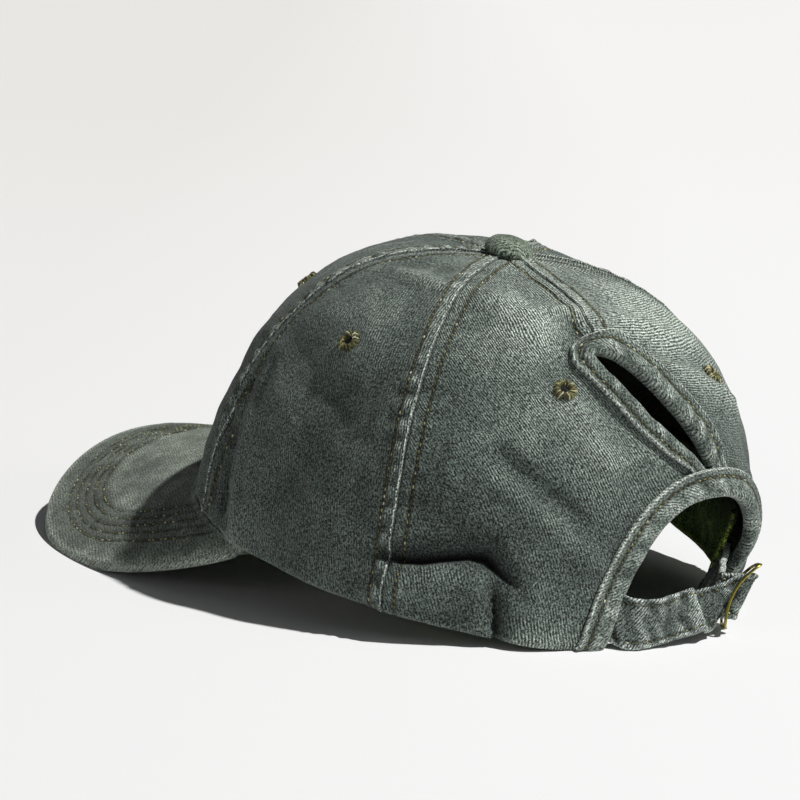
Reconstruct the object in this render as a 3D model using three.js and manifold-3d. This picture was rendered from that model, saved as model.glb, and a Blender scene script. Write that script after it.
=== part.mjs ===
// Washed cotton ponytail baseball cap, standing on its bill and its rear strap.
// Millimetres, +Z up, bill toward -Y, the wearer's left toward +X, floor at z = 0.
import * as THREE from "three";
import { mergeVertices } from "three/addons/utils/BufferGeometryUtils.js";
import Module from "manifold-3d";

const wasm = await Module();
wasm.setup();
const rad = THREE.MathUtils.degToRad;
const clamp = THREE.MathUtils.clamp;
const alongX = new THREE.Vector3(1, 0, 0);
const up = new THREE.Vector3(0, 0, 1);

// Cloth
const gap = 0.3;
const twill = 1.4;
const lining = 1.1;

// Crown: theta turns from the front toward +X, w climbs the cloth from the rim (0) to the button (1)
const rimWaves = [85.4, 1.7, 5.3, -0.5];
const crownHeight = 90.5;
const shoulder = { plan: 2.98, rise: 1.7 };
const crownPitch = rad(8.9);
const swirl = rad(-6.5);
const rearLean = 19.5;
const rearTuck = 2.7;
const rearDrop = 1.1;
const restFlat = 0.8;
const topShift = -1.5;
const frontLift = 1.6;
const sideLift = 1.0;
const plainMesh = { columns: 9, rows: 14 };
const backMesh = { columns: 13, rows: 20 };
const topHole = 4;
const cutterReach = 16;

// Seams and what is set into the panels
const seams = { front: 0, frontSide: 57.9, backSide: 118.3, back: 180 };
const backSeamDrift = -6.5;
const arch = { middle: 180, halfAngle: 19.3, top: 0.296, fullness: 2.4 };
const slit = { foot: 0.335, top: 0.615, halfWidth: 5.6, footHalfWidth: 2.2 };
const eyelet = { height: 0.517, outer: 3.7, hole: 1.1, cut: 2.2, rise: 0.9 };
const eyeletAngles = { front: 27.5, side: 90, back: 153.4 };
const binding = { width: 6.8, slitWidth: 6, thick: 1.2, clear: 0.84, wrap: 1.6 };
const sweatband = { endAngle: 155.5, bottom: 0.012, top: 0.22, clear: 0.9 };

// Bill
const bill = { thick: 3, length: 71, shoulderWidth: 101.8, fullness: 1.8, endAngle: 79 };
const billEnds = { tongue: 2.6, taper: 0.5 };
const billBend = 61.5;
const billDroop = rad(13.4);

// Strap, slide and button
const strap = { width: 15, thick: 1.5 };
const slide = { long: 22, deep: 11.5, rail: 1.5, thick: 0.9, bow: 3.2, corner: 1.8 };
const slideCentre = new THREE.Vector3(-18.4, 96, -2.6);
const button = { radius: 7.4, height: 4.6, shank: 2.6, washer: 5.2 };

const finishes = {
  twill: { color: 0x4b5851, roughness: 0.92, metalness: 0 },
  binding: { color: 0x545c55, roughness: 0.92, metalness: 0 },
  strap: { color: 0x4e5653, roughness: 0.92, metalness: 0 },
  button: { color: 0x66715f, roughness: 0.92, metalness: 0 },
  lining: { color: 0x2a3018, roughness: 0.92, metalness: 0 },
  thread: { color: 0x78733c, roughness: 0.92, metalness: 0 },
  brass: { color: 0x8a8340, roughness: 0.4, metalness: 1 },
};

// Dents and folds of the crown, each from one place on the cloth to another
const folds = [
  { name: "pinch on the left flank", from: [119, 0.11], to: [137, 0.155], width: 4.5, out: -3.2 },
  { name: "lip under the pinch", from: [122, 0.075], to: [137, 0.1], width: 6, out: 2.2 },
  { name: "end of the pinch", from: [137, 0.155], to: [141, 0.11], width: 3.5, out: -2.4 },
  { name: "notch at the rim", from: [139, 0.09], to: [141, 0.02], width: 3.2, out: -2.6 },
  { name: "hollow above the pinch", from: [124, 0.22], to: [140, 0.27], width: 11, out: -1.6 },
  { name: "back-left brow", from: [136, 0.73], to: [151, 0.67], width: 5.5, out: 2 },
  { name: "back-left bump", from: [157, 0.72], to: [168, 0.715], width: 4.5, out: 1.2 },
  { name: "back-left crease", from: [168, 0.68], to: [155, 0.555], width: 5, out: -1.9 },
  { name: "back-left ridge", from: [152, 0.47], to: [158, 0.37], width: 6.5, out: 1.8 },
  { name: "back-right ridge high", from: [186, 0.68], to: [196, 0.57], width: 6, out: 1.8 },
  { name: "back-right ridge low", from: [196, 0.54], to: [203, 0.4], width: 6.5, out: 1.9 },
  { name: "back-right valley", from: [212, 0.6], to: [222, 0.36], width: 9, out: -2 },
  { name: "left flank hollow", from: [78, 0.44], to: [98, 0.36], width: 9, out: -2 },
  { name: "left flank low hollow", from: [92, 0.25], to: [88, 0.14], width: 8, out: -1.8 },
  { name: "left temple crease", from: [61, 0.22], to: [68, 0.04], width: 4, out: -1.8 },
  { name: "left temple roll", from: [70, 0.26], to: [76, 0.03], width: 5, out: 1.5 },
  { name: "front-left crease", from: [38, 0.3], to: [52, 0.05], width: 6, out: -1.8 },
  { name: "front-right crease", from: [-34, 0.32], to: [-50, 0.06], width: 6.5, out: -1.8 },
  { name: "right temple crease", from: [-62, 0.25], to: [-70, 0.03], width: 4.5, out: -1.9 },
  { name: "right flank hollow", from: [-100, 0.42], to: [-80, 0.34], width: 9, out: -2 },
  { name: "right flank pinch", from: [-139, 0.14], to: [-122, 0.12], width: 5, out: -2.4 },
];

// Running arc length of the crown's meridian, so that w is a share of the cloth's length
const meridian = [{ v: 0, length: 0 }];
for (let i = 1; i <= 300; i++) {
  const v = i / 300;
  const last = meridian[i - 1];
  const step = Math.hypot(
    rimWaves[0] * (inwardAt(v) - inwardAt(last.v)),
    crownHeight * (riseAt(v) - riseAt(last.v)),
  );
  meridian.push({ v, length: last.length + step });
}
const meridianLength = meridian[300].length;

function inwardAt(v) {
  return Math.max(Math.cos((v * Math.PI) / 2), 0) ** (2 / shoulder.plan);
}

function riseAt(v) {
  return Math.sin((v * Math.PI) / 2) ** (2 / shoulder.rise);
}

function profileAt(w) {
  const length = clamp(w, 0, 1) * meridianLength;
  let i = 1;
  while (i < 300 && meridian[i].length < length) i++;
  const low = meridian[i - 1];
  const high = meridian[i];
  return low.v + ((high.v - low.v) * (length - low.length)) / (high.length - low.length);
}

// The crown without its folds
function bareCrown(theta, w) {
  const v = profileAt(w);
  const turned = theta + swirl * v;
  const front = Math.max(Math.cos(turned), 0);
  const back = Math.max(-Math.cos(turned), 0) ** 4;
  const outline = rimWaves.reduce((sum, size, wave) => sum + size * Math.cos(wave * turned), 0);
  const radius = outline - rearTuck * back * Math.max(1 - v / 0.25, 0) ** 2;
  const inward = inwardAt(v);
  const level = frontLift * front ** 1.5 - sideLift * Math.cos(2 * turned) - rearDrop * back;
  const lift = level * (1 - v) ** 2;
  const point = new THREE.Vector3(
    radius * Math.sin(turned) * inward - rearLean * back * Math.sin(Math.PI * Math.min(v / 0.7, 1)),
    topShift * (1 - inward) - radius * Math.cos(turned) * inward,
    crownHeight * riseAt(v) + Math.min(w, 0) * meridianLength + lift,
  );
  return point.applyAxisAngle(alongX, -crownPitch);
}

function crownTangents(theta, w) {
  const high = Math.min(w, 0.97);
  const around = bareCrown(theta + 0.01, high).sub(bareCrown(theta - 0.01, high)).multiplyScalar(50);
  const climb = bareCrown(theta, high + 0.005).sub(bareCrown(theta, high - 0.005)).multiplyScalar(100);
  const normal = new THREE.Vector3().crossVectors(around, climb).normalize();
  return { around, climb, normal };
}

const foldLines = folds.map((fold) => ({
  ...fold,
  line: new THREE.Line3(
    bareCrown(rad(fold.from[0]), fold.from[1]),
    bareCrown(rad(fold.to[0]), fold.to[1]),
  ),
}));

// How far the folds move the cloth outward. The sweatband takes only the dents, and softens them
function relief(point, soften = 1) {
  const nearest = new THREE.Vector3();
  let sum = 0;
  for (const fold of foldLines) {
    if (soften > 1 && fold.out > 0) continue;
    fold.line.closestPointToPoint(point, true, nearest);
    sum += fold.out * Math.exp(-((nearest.distanceTo(point) / (fold.width * soften)) ** 2));
  }
  return sum;
}

// A point of the crown's cloth, depth being measured outward from its outer face
function crown(theta, w, depth = 0, soften = 1) {
  const point = bareCrown(theta, w);
  const { normal } = crownTangents(theta, w);
  return point.clone().addScaledVector(normal, depth + relief(point, soften));
}

// Closed geometry from two matching grids of points, the first one facing out
function closedGrid(face, back) {
  const rows = face.length;
  const columns = face[0].length;
  const points = [...face.flat(), ...back.flat()];
  const at = (side, j, i) => side * rows * columns + j * columns + i;
  const index = [];
  const quad = (a, b, c, d) => index.push(a, b, c, a, c, d);
  for (let j = 0; j < rows - 1; j++) {
    for (let i = 0; i < columns - 1; i++) {
      quad(at(0, j, i), at(0, j, i + 1), at(0, j + 1, i + 1), at(0, j + 1, i));
      quad(at(1, j, i), at(1, j + 1, i), at(1, j + 1, i + 1), at(1, j, i + 1));
    }
    quad(at(0, j, 0), at(0, j + 1, 0), at(1, j + 1, 0), at(1, j, 0));
    const last = columns - 1;
    quad(at(0, j + 1, last), at(0, j, last), at(1, j, last), at(1, j + 1, last));
  }
  for (let i = 0; i < columns - 1; i++) {
    quad(at(0, 0, i + 1), at(0, 0, i), at(1, 0, i), at(1, 0, i + 1));
    quad(at(0, rows - 1, i), at(0, rows - 1, i + 1), at(1, rows - 1, i + 1), at(1, rows - 1, i));
  }
  return geometryOf(points, index);
}

// Closed tube from rings of points, all in the same order, with flat ends
function closedTube(rings, outline) {
  const count = outline.length;
  const index = [];
  for (let k = 0; k < rings.length - 1; k++) {
    for (let m = 0; m < count; m++) {
      const a = k * count + m;
      const b = k * count + ((m + 1) % count);
      index.push(a, b, b + count, a, b + count, a + count);
    }
  }
  const last = (rings.length - 1) * count;
  for (const [a, b, c] of THREE.ShapeUtils.triangulateShape(outline, [])) {
    index.push(c, b, a, last + a, last + b, last + c);
  }
  return geometryOf(rings.flat(), index);
}

function geometryOf(points, index) {
  const geometry = new THREE.BufferGeometry().setFromPoints(points);
  geometry.setIndex(index);
  geometry.computeVertexNormals();
  return geometry;
}

function toSolid(geometry) {
  const plain = geometry.clone();
  plain.deleteAttribute("normal");
  plain.deleteAttribute("uv");
  const merged = mergeVertices(plain, 1e-4);
  const mesh = new wasm.Mesh({
    numProp: 3,
    vertProperties: new Float32Array(merged.attributes.position.array),
    triVerts: new Uint32Array(merged.index.array),
  });
  return new wasm.Manifold(mesh);
}

function toGeometry(solid) {
  const mesh = solid.getMesh();
  const geometry = new THREE.BufferGeometry();
  geometry.setAttribute("position", new THREE.BufferAttribute(mesh.vertProperties, mesh.numProp));
  geometry.setIndex(new THREE.BufferAttribute(mesh.triVerts, 1));
  geometry.computeVertexNormals();
  return geometry;
}

// Places on the crown, written [theta, w]

function backSeam(w) {
  const drift = THREE.MathUtils.smoothstep(w, arch.top, 0.62);
  return rad(seams.back + backSeamDrift * drift);
}

function archEdge(share) {
  const turn = share * Math.PI;
  const power = 2 / arch.fullness;
  const side = -Math.sign(Math.cos(turn)) * Math.abs(Math.cos(turn)) ** power;
  return [rad(arch.middle + arch.halfAngle * side), arch.top * Math.sin(turn) ** power];
}

// The slit's edge, from its foot up one side (share 0 to 0.5) and down the other
function slitEdge(share) {
  const side = share < 0.5 ? -1 : 1;
  const climb = Math.sin(share * Math.PI);
  const w = slit.foot - 0.02 + (slit.top - slit.foot + 0.02) * climb;
  const belly = Math.sin(Math.PI * clamp(climb, 0, 1) ** 0.85);
  const round = Math.sqrt(Math.max(1 - climb ** 9, 0));
  const half = (slit.footHalfWidth + (slit.halfWidth - slit.footHalfWidth) * belly) * round;
  const { around } = crownTangents(backSeam(w), w);
  return [backSeam(w) + (side * half) / around.length(), w];
}

// The place that lies so many millimetres beside a path over the crown, level with it at the rim
function beside(path, k, across) {
  const [theta, w] = path[k];
  const before = bareCrown(...path[Math.max(k - 1, 0)]);
  const after = bareCrown(...path[Math.min(k + 1, path.length - 1)]);
  const { around, climb, normal } = crownTangents(theta, w);
  const level = around.clone().normalize().multiplyScalar(Math.sign(theta - rad(arch.middle)));
  const square = new THREE.Vector3().crossVectors(normal, after.sub(before)).normalize();
  const move = level.lerp(square, THREE.MathUtils.smoothstep(w, 0, 0.09)).setLength(across);
  const a = around.dot(around);
  const b = around.dot(climb);
  const c = climb.dot(climb);
  const p = move.dot(around);
  const q = move.dot(climb);
  const scale = a * c - b * b;
  return [theta + (c * p - b * q) / scale, w + (a * q - b * p) / scale];
}

// Crown panels

function panelGrid(fromAngle, toAngle, { columns, rows }) {
  const topShare = 1 - topHole / meridianLength;
  const faces = [[], []];
  for (let j = 0; j <= rows; j++) {
    const w = (topShare * j) / rows;
    const from = typeof fromAngle === "function" ? fromAngle(w) : rad(fromAngle);
    const to = typeof toAngle === "function" ? toAngle(w) : rad(toAngle);
    const margin = gap / 2 / Math.max(crownTangents(from, w).around.length(), 1);
    const angles = [];
    for (let i = 0; i <= columns; i++) {
      angles.push(THREE.MathUtils.lerp(from + margin, to - margin, i / columns));
    }
    faces[0].push(angles.map((theta) => crown(theta, w)));
    faces[1].push(angles.map((theta) => crown(theta, w, -twill)));
  }
  return closedGrid(faces[0], faces[1]);
}

// A cutter through the cloth with the outline of a closed run of places
function throughCloth(places) {
  const outline = places.map(([theta, w]) => new THREE.Vector2(theta * 80, w * 140));
  if (THREE.ShapeUtils.area(outline) < 0) {
    outline.reverse();
    places = [...places].reverse();
  }
  const low = places.map(([theta, w]) => crown(theta, w, -cutterReach));
  const high = places.map(([theta, w]) => crown(theta, w, cutterReach));
  return toSolid(closedTube([low, high], outline));
}

function eyeletAxis(angle) {
  const theta = rad(angle);
  const w = eyelet.height;
  const around = crown(theta + 0.05, w).sub(crown(theta - 0.05, w));
  const climb = crown(theta, w + 0.02).sub(crown(theta, w - 0.02));
  return { centre: crown(theta, w), normal: new THREE.Vector3().crossVectors(around, climb).normalize() };
}

function placed(geometry, centre, axis) {
  geometry.applyQuaternion(new THREE.Quaternion().setFromUnitVectors(new THREE.Vector3(0, 1, 0), axis));
  return geometry.translate(centre.x, centre.y, centre.z);
}

function eyeletCutter(angle) {
  const { centre, normal } = eyeletAxis(angle);
  return toSolid(placed(new THREE.CylinderGeometry(eyelet.cut, eyelet.cut, 12, 14), centre, normal));
}

function archCutter() {
  const places = [];
  for (let k = 0; k <= 52; k++) places.push(archEdge(k / 52));
  places.push([places[52][0], -0.05], [places[0][0], -0.05]);
  return throughCloth(places);
}

function slitCutter() {
  const places = [];
  for (let k = 0; k <= 40; k++) places.push(slitEdge(k / 40));
  const [theta] = archEdge(0.5);
  places.push([theta + rad(1.2), arch.top - 0.02], [theta - rad(1.2), arch.top - 0.02]);
  return throughCloth(places);
}

function panel({ from, to, mesh, hole, openings }) {
  let solid = toSolid(panelGrid(from, to, mesh));
  for (const cutter of [eyeletCutter(hole), ...openings]) solid = solid.subtract(cutter);
  return toGeometry(solid);
}

// Bindings: a strip folded over a cut edge, written as [across, depth] round its section
function foldedEdge(path, width) {
  const { thick, clear, wrap } = binding;
  const outer = clear + thick;
  const inner = -twill - clear - thick;
  const section = [
    [-wrap, inner + 0.5], [-wrap + 0.4, inner], [width / 2, inner], [width, inner],
    [width, inner + thick], [width / 2, inner + thick], [-wrap + thick, inner + thick],
    [-wrap + thick, clear], [width / 2, clear], [width, clear],
    [width, outer], [width / 2, outer], [-wrap + 0.4, outer], [-wrap, outer - 0.5],
  ];
  const outline = section.map(([across, depth]) => new THREE.Vector2(across, depth));
  const rings = path.map((_, k) =>
    section.map(([across, depth]) => crown(...beside(path, k, across), depth)));
  return closedTube(rings, outline);
}

function archBinding() {
  const path = [];
  for (let k = 0; k <= 26; k++) path.push(archEdge(0.002 + (0.996 * k) / 26));
  return foldedEdge(path, binding.width);
}

function slitBinding() {
  const path = [];
  for (let k = 0; k <= 28; k++) path.push(slitEdge(0.045 + (0.91 * k) / 28));
  return foldedEdge(path, binding.slitWidth);
}

// Sweatband round the inside of the rim
function sweatbandStrip() {
  const faces = [[], []];
  const outer = -twill - sweatband.clear;
  for (let j = 0; j <= 4; j++) {
    const w = THREE.MathUtils.lerp(sweatband.bottom, sweatband.top, j / 4);
    const angles = [];
    for (let i = 0; i <= 40; i++) angles.push(rad(sweatband.endAngle * (i / 20 - 1)));
    faces[0].push(angles.map((theta) => crown(theta, w, outer, 1.9)));
    faces[1].push(angles.map((theta) => crown(theta, w, outer - lining, 1.9)));
  }
  return closedGrid(faces[0], faces[1]);
}

// Bill, across from -1 to 1 and reach from 0 at the crown to 1 at its edge

function billPoint(across, reach) {
  const endAngle = rad(bill.endAngle);
  const rimAt = (angle) => bareCrown(angle, 0).applyAxisAngle(alongX, crownPitch);
  const root = rimAt(across * endAngle);
  const corner = rimAt(endAngle);
  const tip = bill.length - rimAt(0).y + corner.y;
  const turn = clamp(((1 - Math.abs(across)) * Math.PI) / 2, 1e-6, Math.PI / 2);
  const power = 2 / bill.fullness;
  const swell = (bill.shoulderWidth - corner.x) * Math.sin(2 * turn);
  const edgeX = Math.sign(across) * (corner.x * Math.cos(turn) ** power + swell);
  const edgeY = corner.y - tip * Math.sin(turn) ** power;
  const x = THREE.MathUtils.lerp(root.x, edgeX, reach);
  const y = THREE.MathUtils.lerp(root.y, edgeY, reach);
  const bend = billBend * (Math.cos(root.x / billBend) - Math.cos(x / billBend));
  return new THREE.Vector3(x, y, root.z - (root.y - y) * Math.tan(billDroop) - bend);
}

function billPlate() {
  const ends = 0.985;
  const rows = [
    { reach: 0, tongue: billEnds.tongue, top: 0, bottom: 1 },
    { reach: 0, tongue: 0, top: 0, bottom: 1 },
    { reach: 0.2, tongue: 0, top: 0, bottom: 1 },
    { reach: 0.4, tongue: 0, top: 0, bottom: 1 },
    { reach: 0.6, tongue: 0, top: 0, bottom: 1 },
    { reach: 0.8, tongue: 0, top: 0, bottom: 1 },
    { reach: 0.94, tongue: 0, top: 0, bottom: 1 },
    { reach: 0.985, tongue: 0, top: 0.12, bottom: 0.88 },
    { reach: 1, tongue: 0, top: 0.36, bottom: 0.64 },
  ];
  const columns = 28;
  const faces = [[], []];
  for (const row of rows) {
    const tops = [];
    const bottoms = [];
    for (let i = 0; i <= columns; i++) {
      const across = ends * Math.sin(((i / columns - 0.5) * Math.PI) * 0.96) / Math.sin(Math.PI * 0.48);
      const point = billPoint(across, row.reach);
      const inward = new THREE.Vector3(-point.x, -point.y, 0).setLength(row.tongue);
      point.add(inward);
      const thick = bill.thick * (1 - billEnds.taper * Math.abs(across) ** 10);
      tops.push(point.clone().addScaledVector(up, -gap - row.top * thick));
      bottoms.push(point.clone().addScaledVector(up, -gap - row.bottom * thick));
    }
    faces[0].push(tops.map((point) => point.applyAxisAngle(alongX, -crownPitch)));
    faces[1].push(bottoms.map((point) => point.applyAxisAngle(alongX, -crownPitch)));
  }
  return closedGrid(faces[0].reverse(), faces[1].reverse());
}

// Button on the crown's top, with the washer that holds it from inside
function buttonKnob() {
  const under = -twill - 0.7;
  const profile = [
    [0, button.height], [3, button.height - 0.35], [5.4, button.height - 1.4], [7, button.height - 3],
    [button.radius, 1.4], [7, 0.75], [button.shank, 0.75], [button.shank, under],
    [button.washer, under], [button.washer, under - 1], [0, under - 1],
  ];
  const lathe = new THREE.LatheGeometry(profile.map(([x, y]) => new THREE.Vector2(x, y)).reverse(), 16);
  const top = bareCrown(0, 1);
  const { normal } = crownTangents(0, 1);
  return placed(lathe, top, normal);
}

// Sewn eyelet: thread wound through the hole, over both faces of the cloth
function eyeletRing(angle) {
  const { outer, hole, cut, rise } = eyelet;
  const face = 0.55;
  const inside = -twill - 0.55;
  const stem = cut - 0.35;
  const profile = [
    [hole, inside - 0.5], [outer, inside - 0.5], [outer, inside], [stem, inside],
    [stem, face], [outer, face], [outer - 0.6, face + rise], [hole, face + rise],
  ];
  const points = profile.map(([x, y]) => new THREE.Vector2(x, y));
  const { centre, normal } = eyeletAxis(angle);
  return placed(new THREE.LatheGeometry([...points, points[0].clone()], 10), centre, normal);
}

// Slide: a bowed frame that the strap runs through, its long side leaning over
const slideLong = new THREE.Vector3(-0.484, 0.18, 0.86).normalize();
const slideDeep = new THREE.Vector3(0.653, 0.726, 0.215).normalize();
const slideFace = new THREE.Vector3().crossVectors(slideLong, slideDeep).normalize();

// The strap runs through the slide level, toward the wearer's right
const strapHeading = new THREE.Vector3(-0.743, 0.669, 0);

function slidePlace(long, deep, face) {
  return slideCentre.clone()
    .addScaledVector(slideLong, long)
    .addScaledVector(slideDeep, deep)
    .addScaledVector(slideFace, face - slide.bow * (1 - (2 * long / slide.long) ** 2));
}

function roundedOutline(long, deep, corner, Kind) {
  const outline = new Kind();
  const a = long / 2;
  const b = deep / 2;
  outline.moveTo(-a + corner, -b);
  for (let i = 1; i <= 6; i++) outline.lineTo(THREE.MathUtils.lerp(-a + corner, a - corner, i / 6), -b);
  outline.absarc(a - corner, -b + corner, corner, -Math.PI / 2, 0);
  outline.absarc(a - corner, b - corner, corner, 0, Math.PI / 2);
  for (let i = 1; i <= 6; i++) outline.lineTo(THREE.MathUtils.lerp(a - corner, -a + corner, i / 6), b);
  outline.absarc(-a + corner, b - corner, corner, Math.PI / 2, Math.PI);
  outline.absarc(-a + corner, -b + corner, corner, Math.PI, 1.5 * Math.PI);
  return outline;
}

function slideFrame() {
  const { long, deep, rail, thick, corner } = slide;
  const outline = roundedOutline(long, deep, corner, THREE.Shape);
  outline.holes.push(roundedOutline(long - 2 * rail, deep - 2 * rail, corner / 2, THREE.Path));
  const settings = { depth: thick, bevelEnabled: false, curveSegments: 3 };
  const geometry = new THREE.ExtrudeGeometry(outline, settings);
  const position = geometry.attributes.position;
  for (let i = 0; i < position.count; i++) {
    const place = slidePlace(position.getX(i), position.getY(i), position.getZ(i) - thick / 2);
    position.setXYZ(i, ...place);
  }
  return geometry;
}

// Ribbon along a smooth run of stations: the middle of its width, and which way that width points
function ribbon(stations, steps, width = strap.width) {
  const middle = new THREE.CatmullRomCurve3(stations.map(({ at }) => at), false, "centripetal");
  const wide = new THREE.CatmullRomCurve3(stations.map(({ across }) => across), false, "centripetal");
  const faces = [[[], [], []], [[], [], []]];
  for (let k = 0; k <= steps; k++) {
    const centre = middle.getPoint(k / steps);
    const along = middle.getTangent(k / steps);
    const across = wide.getPoint(k / steps).normalize();
    const normal = new THREE.Vector3().crossVectors(along, across).normalize();
    for (let j = 0; j <= 2; j++) {
      const place = centre.clone().addScaledVector(across, (j / 2 - 0.5) * width);
      faces[0][j].push(place.clone().addScaledVector(normal, strap.thick / 2));
      faces[1][j].push(place.clone().addScaledVector(normal, -strap.thick / 2));
    }
  }
  return closedGrid(faces[0], faces[1]);
}

// A station by the middle of the strap, its top leaning so far from upright toward a heading
function leaning(x, y, z, lean, heading) {
  const across = new THREE.Vector3(
    Math.sin(rad(lean)) * Math.cos(rad(heading)),
    Math.sin(rad(lean)) * Math.sin(rad(heading)),
    Math.cos(rad(lean)),
  );
  return { at: new THREE.Vector3(x, y, z), across };
}

// A station against the inside of the crown, near its rim
function insideCrown(angle, depth) {
  const across = crown(rad(angle), 0.12).sub(crown(rad(angle), 0.01)).normalize();
  return { at: crown(rad(angle), 0.075, depth), across };
}

// A station in the slide, low in its opening; past is the way the strap runs through it
function inSlide(deep, past) {
  const at = slidePlace(-1.8, deep, 0).addScaledVector(strapHeading, past);
  return { at, across: slideLong.clone() };
}

function longStrap() {
  return ribbon([
    insideCrown(157.5, -4.6),
    insideCrown(161.5, -4.5),
    insideCrown(167.5, -3.3),
    leaning(14, 88, -7.2, 22, 250),
    leaning(8, 92.2, -7.2, 30, 250),
    leaning(1, 94.2, -6.6, 36, 250),
    leaning(-5.5, 95, -5.6, 34, 235),
    leaning(-10, 95.4, -4.4, 28, 200),
    inSlide(2.6, 0),
    inSlide(2.6, 4),
    inSlide(1.1, 6.6),
    inSlide(-0.4, 4),
    inSlide(-0.4, 0),
    inSlide(-0.9, -6),
  ], 52);
}

function shortTab() {
  return ribbon([
    insideCrown(202.5, -5),
    insideCrown(198, -5),
    insideCrown(190.5, -3.9),
    inSlide(-7.4, -4),
    inSlide(-7.4, 0),
    inSlide(-7.2, 3),
    inSlide(-5.2, 4.8),
    inSlide(-3.1, 3),
    inSlide(-3, 0),
    inSlide(-3.1, -5),
  ], 34);
}

const cap = new THREE.Group();

// Presses cloth flat where it would reach below the floor
function rested(geometry) {
  const position = geometry.attributes.position;
  for (let i = 0; i < position.count; i++) position.setZ(i, Math.max(position.getZ(i), floor));
  return geometry;
}

function add(name, geometry, finish) {
  const material = new THREE.MeshStandardMaterial(finishes[finish]);
  const mesh = new THREE.Mesh(rested(geometry), material);
  mesh.name = name;
  cap.add(mesh);
}

const billGeometry = billPlate();
billGeometry.computeBoundingBox();
const floor = billGeometry.boundingBox.min.z + restFlat;
const { frontSide, backSide, front: frontSeam } = seams;
const holes = eyeletAngles;
const none = [];
const otherBack = (w) => backSeam(w) - 2 * Math.PI;
const openings = [archCutter(), slitCutter()];
const panels = [
  { name: "front_left", from: frontSeam, to: frontSide, mesh: plainMesh, hole: holes.front, openings: none },
  { name: "front_right", from: -frontSide, to: frontSeam, mesh: plainMesh, hole: -holes.front, openings: none },
  { name: "side_left", from: frontSide, to: backSide, mesh: plainMesh, hole: holes.side, openings: none },
  { name: "side_right", from: -backSide, to: -frontSide, mesh: plainMesh, hole: -holes.side, openings: none },
  { name: "back_left", from: backSide, to: backSeam, mesh: backMesh, hole: holes.back, openings },
  { name: "back_right", from: otherBack, to: -backSide, mesh: backMesh, hole: -holes.back, openings },
];

for (const row of panels) add(`panel_${row.name}`, panel(row), "twill");
add("bill", billGeometry, "twill");
add("top_button", buttonKnob(), "button");
add("sweatband", sweatbandStrip(), "lining");
add("arch_binding", archBinding(), "binding");
add("slit_binding", slitBinding(), "binding");
add("strap", longStrap(), "strap");
add("strap_tab", shortTab(), "strap");
add("buckle", slideFrame(), "brass");
for (const [place, angle] of Object.entries(holes)) {
  add(`eyelet_${place}_left`, eyeletRing(angle), "thread");
  add(`eyelet_${place}_right`, eyeletRing(-angle), "thread");
}

// Stand the cap on the floor, the middle of its box over the origin
const box = new THREE.Box3().setFromObject(cap);
const middle = box.getCenter(new THREE.Vector3());
cap.position.set(-middle.x, -middle.y, -floor);
cap.updateMatrixWorld(true);

export default cap;
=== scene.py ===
# Washed cotton ponytail baseball cap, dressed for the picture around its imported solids.
# Metres, +Z up, bill toward -Y, the wearer's left toward +X, floor at z = 0.
import math

import bpy
import numpy as np
from mathutils import Matrix, Vector


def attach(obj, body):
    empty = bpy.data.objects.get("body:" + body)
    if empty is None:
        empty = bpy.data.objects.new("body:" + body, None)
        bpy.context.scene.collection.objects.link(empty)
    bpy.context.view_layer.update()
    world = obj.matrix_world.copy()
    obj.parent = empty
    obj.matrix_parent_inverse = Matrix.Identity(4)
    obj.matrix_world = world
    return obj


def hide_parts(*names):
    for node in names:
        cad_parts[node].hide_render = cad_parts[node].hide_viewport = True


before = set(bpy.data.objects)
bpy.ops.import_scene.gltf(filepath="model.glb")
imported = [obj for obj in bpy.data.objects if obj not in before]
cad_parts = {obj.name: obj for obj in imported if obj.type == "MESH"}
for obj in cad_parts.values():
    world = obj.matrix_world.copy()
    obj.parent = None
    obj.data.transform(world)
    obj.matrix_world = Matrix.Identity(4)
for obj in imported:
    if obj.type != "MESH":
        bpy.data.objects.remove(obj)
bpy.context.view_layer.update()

# Camera: behind the cap, on the wearer's left and a little above it, with a long lens.
# It looks at a point inside the crown, and the cap fills the frame.
mm = 0.001
camera_azimuth = math.radians(137.37)
camera_elevation = math.radians(10.6)
camera_roll = math.radians(1.48)
camera_distance = 906.7 * mm
camera_lens = 130.45
camera_aside = -23.1 * mm
camera_above = 41.6 * mm
level_sight = math.cos(camera_elevation)
camera_back = Vector((
    math.sin(camera_azimuth) * level_sight,
    -math.cos(camera_azimuth) * level_sight,
    math.sin(camera_elevation),
))
level_right = Vector((math.cos(camera_azimuth), math.sin(camera_azimuth), 0))
level_up = camera_back.cross(level_right)
looked_at = Vector((0, 31.01, 13.47)) * mm + level_right * camera_aside + level_up * camera_above
camera_right = level_right * math.cos(camera_roll) + level_up * math.sin(camera_roll)
camera_up = level_up * math.cos(camera_roll) - level_right * math.sin(camera_roll)
camera_data = bpy.data.cameras.new("camera")
camera_data.lens = camera_lens
camera_data.sensor_width = 36
camera_data.clip_start = 0.01
camera = bpy.data.objects.new("camera", camera_data)
bpy.context.scene.collection.objects.link(camera)
camera_turn = Matrix((camera_right, camera_up, camera_back)).transposed().to_4x4()
camera.matrix_world = Matrix.Translation(looked_at + camera_back * camera_distance) @ camera_turn
bpy.context.scene.camera = camera

# Crown panels: six gores of washed cotton twill, cut to a point, their edges folded under and
# sewn together. The cap was dyed and washed after sewing, so the cloth is puckered along the
# seams, pale where it stands proud and dark where it sinks.

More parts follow.
